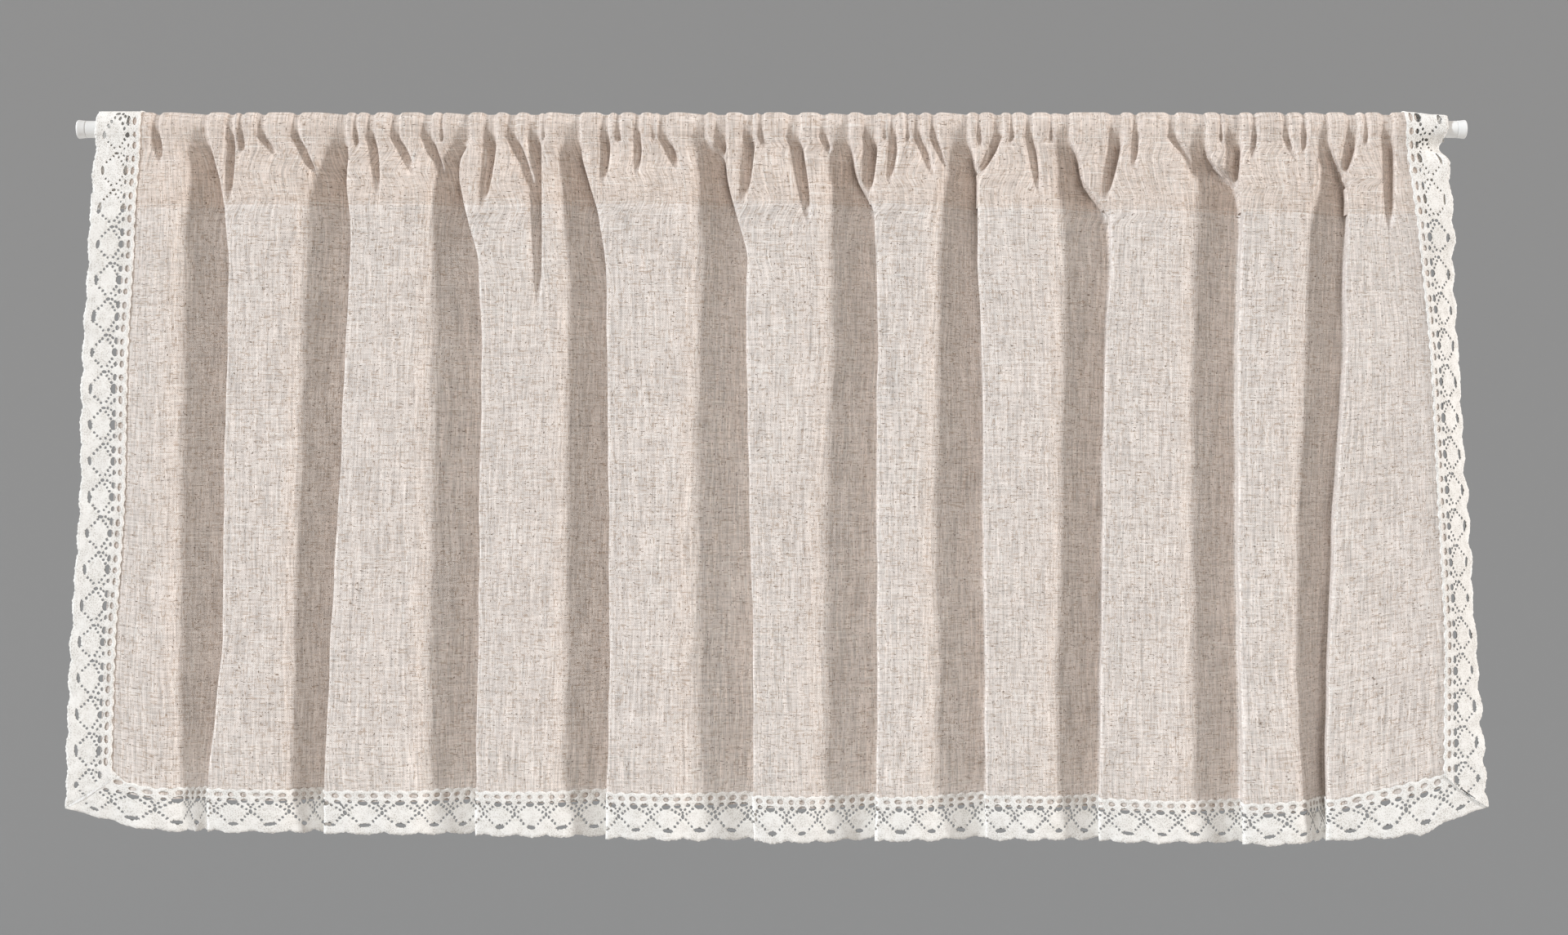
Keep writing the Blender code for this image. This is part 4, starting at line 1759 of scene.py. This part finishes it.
@dataclass(frozen=True)
class LaceFinish(ClothFinish):
    """Off-white cotton lace with plaited threads, painted darker as shading in its finest gaps
    and round the edges of its holes, with darker random specks.
    """

    name: str = "cotton_lace"
    roughness: float = 0.9
    sheen: float = 0.15
    fuzz: float = 0.5
    relief: float = 0.7
    depth: float = 0.35
    colour: Colour = (0.935, 0.918, 0.888, 1.0)
    # The painted shading of the finest gaps, which is also the colour of the random specks, and
    # the painted shading round the holes' edges
    gap_shading_and_specks: Colour = (0.50, 0.46, 0.41, 1.0)
    rim_shading_colour: Colour = (0.13, 0.13, 0.125, 1.0)

    def make(self) -> Material:
        """Build the material.

        Returns:
            The material.
        """
        made, bench, shader, drawing, _ = self.begin(DrawingGroup.make())
        # Paint the finest gaps darker as shading seen through them, and the random specks darker
        colour = bench.mix(drawing.outputs["Gaps"], self.colour, self.gap_shading_and_specks)
        # Paint the holes' edges dark as shading
        colour = bench.mix(drawing.outputs["RimShading"], colour, self.rim_shading_colour)
        bench.join(colour, shader.inputs["Base Color"])
        return made


@dataclass(frozen=True)
class PlainFinish:
    """A plain coloured surface with fine unevenness and a little wear."""

    name: str
    colour: Colour
    roughness: float
    grain: float
    coat: float = 0.0
    grain_range: tuple[float, float] = (0.2, 0.8)
    wear_scale: float = 90.0
    wear_range: tuple[float, float] = (0.45, 0.8)
    wear_share: float = 0.6
    wear_tone: float = 0.9
    smoother: float = 0.06
    rougher: float = 0.1
    relief: float = 0.2
    depth: float = 0.05

    def make(self) -> Material:
        """Build the material.

        Returns:
            The material.
        """
        made, bench, shader = new_material(self.name, self.roughness)
        shader.inputs["Coat Weight"].default_value = self.coat
        place = bench.node("ShaderNodeTexCoord").outputs["Object"]
        fine = bench.noise(place, (self.grain,) * 3, 4.0)
        broad = bench.noise(place, (self.wear_scale,) * 3, 2.0, 4.0)
        worn = bench.ramp(broad, *self.wear_range, 0.0, self.wear_share)
        darker = tuple(self.wear_tone * value for value in self.colour[:3]) + (1.0,)
        bench.join(bench.mix(worn, self.colour, darker), shader.inputs["Base Color"])
        rough = bench.ramp(fine, *self.grain_range, self.roughness - self.smoother,
                           self.roughness + self.rougher)
        bench.join(rough, shader.inputs["Roughness"])
        bench.join(bench.bump(fine, self.relief, self.depth), shader.inputs["Normal"])
        return made


@dataclass(frozen=True)
class Lamp:
    """A soft, even lamp, and where it stands as seen from the curtain."""

    name: str
    left: float
    up: float
    power: float
    softness: float
    colour: Triple = (1.0, 1.0, 1.0)

    def shine(self) -> None:
        """Add the lamp, which stands so many degrees to the left of the front, and up."""
        data = bpy.data.lights.new(self.name, "SUN")
        data.energy = self.power
        data.angle = math.radians(self.softness)
        data.color = self.colour
        made = bpy.data.objects.new(self.name, data)
        side, height = math.radians(self.left), math.radians(self.up)
        aim = Vector((math.sin(side) * math.cos(height), math.cos(side) * math.cos(height),
                      -math.sin(height)))
        made.rotation_euler = aim.to_track_quat("-Z", "Y").to_euler()
        bpy.context.scene.collection.objects.link(made)


@dataclass
class Studio:
    """The camera, the lights, the backdrop and the floor."""

    # The frame's width at the curtain, the camera's distance and the point it looks at
    frame_width: float = 1.2864
    distance: float = 1.75
    front: float = -0.018
    middle: tuple[float, float] = (0.5847, -0.2802)
    sensor: float = 36.0
    # The board behind the curtain and the floor below it, in metres
    board_gap: float = 5.0
    board_sides: tuple[float, float] = (-2.8, 4.0)
    board_top: float = 2.2
    board_paint: Colour = (0.26, 0.26, 0.26, 1.0)
    floor_drop: float = 1.85
    floor_sides: tuple[float, float] = (-7.0, 8.0)
    floor_front: float = -6.0
    floor_paint: Colour = (0.62, 0.62, 0.61, 1.0)
    paint_roughness: float = 0.95
    lamps: tuple[Lamp, ...] = (
        Lamp("key", 61.0, 22.0, 2.76, 8.0, (0.93, 1.01, 1.08)),
        Lamp("side", -82.0, 10.0, 2.7, 8.0),
        Lamp("back", 135.0, 12.0, 1.9, 30.0),
    )
    fill_colour: Colour = (1.0, 0.90, 0.82, 1.0)
    fill_strength: float = 0.49

    def build(self) -> None:
        """Set up the whole studio."""
        self.camera()
        floor, back = -self.floor_drop, self.board_gap
        left, right = self.board_sides
        board = ((left, back, floor), (right, back, floor), (right, back, self.board_top),
                 (left, back, self.board_top))
        self.surface("backdrop", board, self.board_paint)
        left, right = self.floor_sides
        ground = ((left, self.floor_front, floor), (right, self.floor_front, floor),
                  (right, back, floor), (left, back, floor))
        self.surface("floor", ground, self.floor_paint)
        for lamp in self.lamps:
            lamp.shine()
        self.world()

    def camera(self) -> None:
        """Place the camera square to the cloth."""
        data = bpy.data.cameras.new("camera")
        data.sensor_width = self.sensor
        data.lens = self.sensor * self.distance / self.frame_width
        made = bpy.data.objects.new("camera", data)
        made.location = (self.middle[0], self.front - self.distance, self.middle[1])
        made.rotation_euler = (0.5 * math.pi, 0.0, 0.0)
        bpy.context.scene.collection.objects.link(made)
        bpy.context.scene.camera = made

    def surface(self, name: str, corners: tuple[Triple, ...], colour: Colour) -> None:
        """Add one flat painted surface.

        Args:
            name: Its name.
            corners: Its four corners, in metres.
            colour: Its paint.
        """
        mesh = bpy.data.meshes.new(name)
        mesh.from_pydata(corners, [], [(0, 1, 2, 3)])
        finish, _, shader = new_material(f"{name}_paint", self.paint_roughness)
        shader.inputs["Base Color"].default_value = colour
        mesh.materials.append(finish)
        made = bpy.data.objects.new(name, mesh)
        bpy.context.scene.collection.objects.link(made)

    def world(self) -> None:
        """Fill the shadows with even, slightly warm light."""
        world = bpy.data.worlds.new("studio")
        world.use_nodes = True
        sky = world.node_tree.nodes["Background"]
        sky.inputs["Color"].default_value = self.fill_colour
        sky.inputs["Strength"].default_value = self.fill_strength
        bpy.context.scene.world = world


def main() -> None:
    """Build the curtain round the frame and set up the studio."""
    logging.basicConfig(level=logging.INFO, format="%(message)s")
    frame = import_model()
    bpy.context.scene.view_settings.view_transform = "Standard"
    Studio().build()
    maker = MeshMaker("curtain_pieces")
    shape = ClothShape()
    linen = LinenFinish().make(shape.seam_drop)
    lace = LaceFinish().make()
    thread = PlainFinish("sewing_thread", (0.88, 0.86, 0.82, 1.0), roughness=0.8,
                         grain=900.0).make()
    paint = PlainFinish("white_rod_paint", (0.88, 0.88, 0.87, 1.0), roughness=0.36,
                        grain=500.0, coat=0.2).make()
    plastic = PlainFinish("white_cap_plastic", (0.87, 0.87, 0.86, 1.0), roughness=0.45,
                          grain=700.0).make()
    hem = BottomLace(shape, "hem_lace", "lace_bottom", seed=3, start_round=14.0, end_round=2.0)
    left = SideLace(shape, "left_side_lace", "lace_left", seed=5, scallop=1.8,
                    start_round=14.0, side=Side.LEFT, overlap=0.0)
    right = SideLace(shape, "right_side_lace", "lace_right", seed=8, scallop=3.4,
                     start_round=2.0, mitre_rise=0.85, side=Side.RIGHT, repeats=17.36,
                     phase=0.843)
    pieces = [
        LinenPanel(shape).build(maker, linen),
        hem.build(maker, lace),
        left.build(maker, lace),
        right.build(maker, lace),
        Stitching(shape).build(maker, thread),
        RodCap("cap_left", "rod_cap_left", Side.LEFT).build(maker, plastic),
        RodCap("cap_right", "rod_cap_right", Side.RIGHT).build(maker, plastic),
    ]
    frame["nodes"]["rod"].data.materials.clear()
    frame["nodes"]["rod"].data.materials.append(paint)
    for piece in pieces:
        LOG.info("%s: %d faces", piece.name, len(piece.data.polygons))
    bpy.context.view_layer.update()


if __name__ == "__main__":
    main()
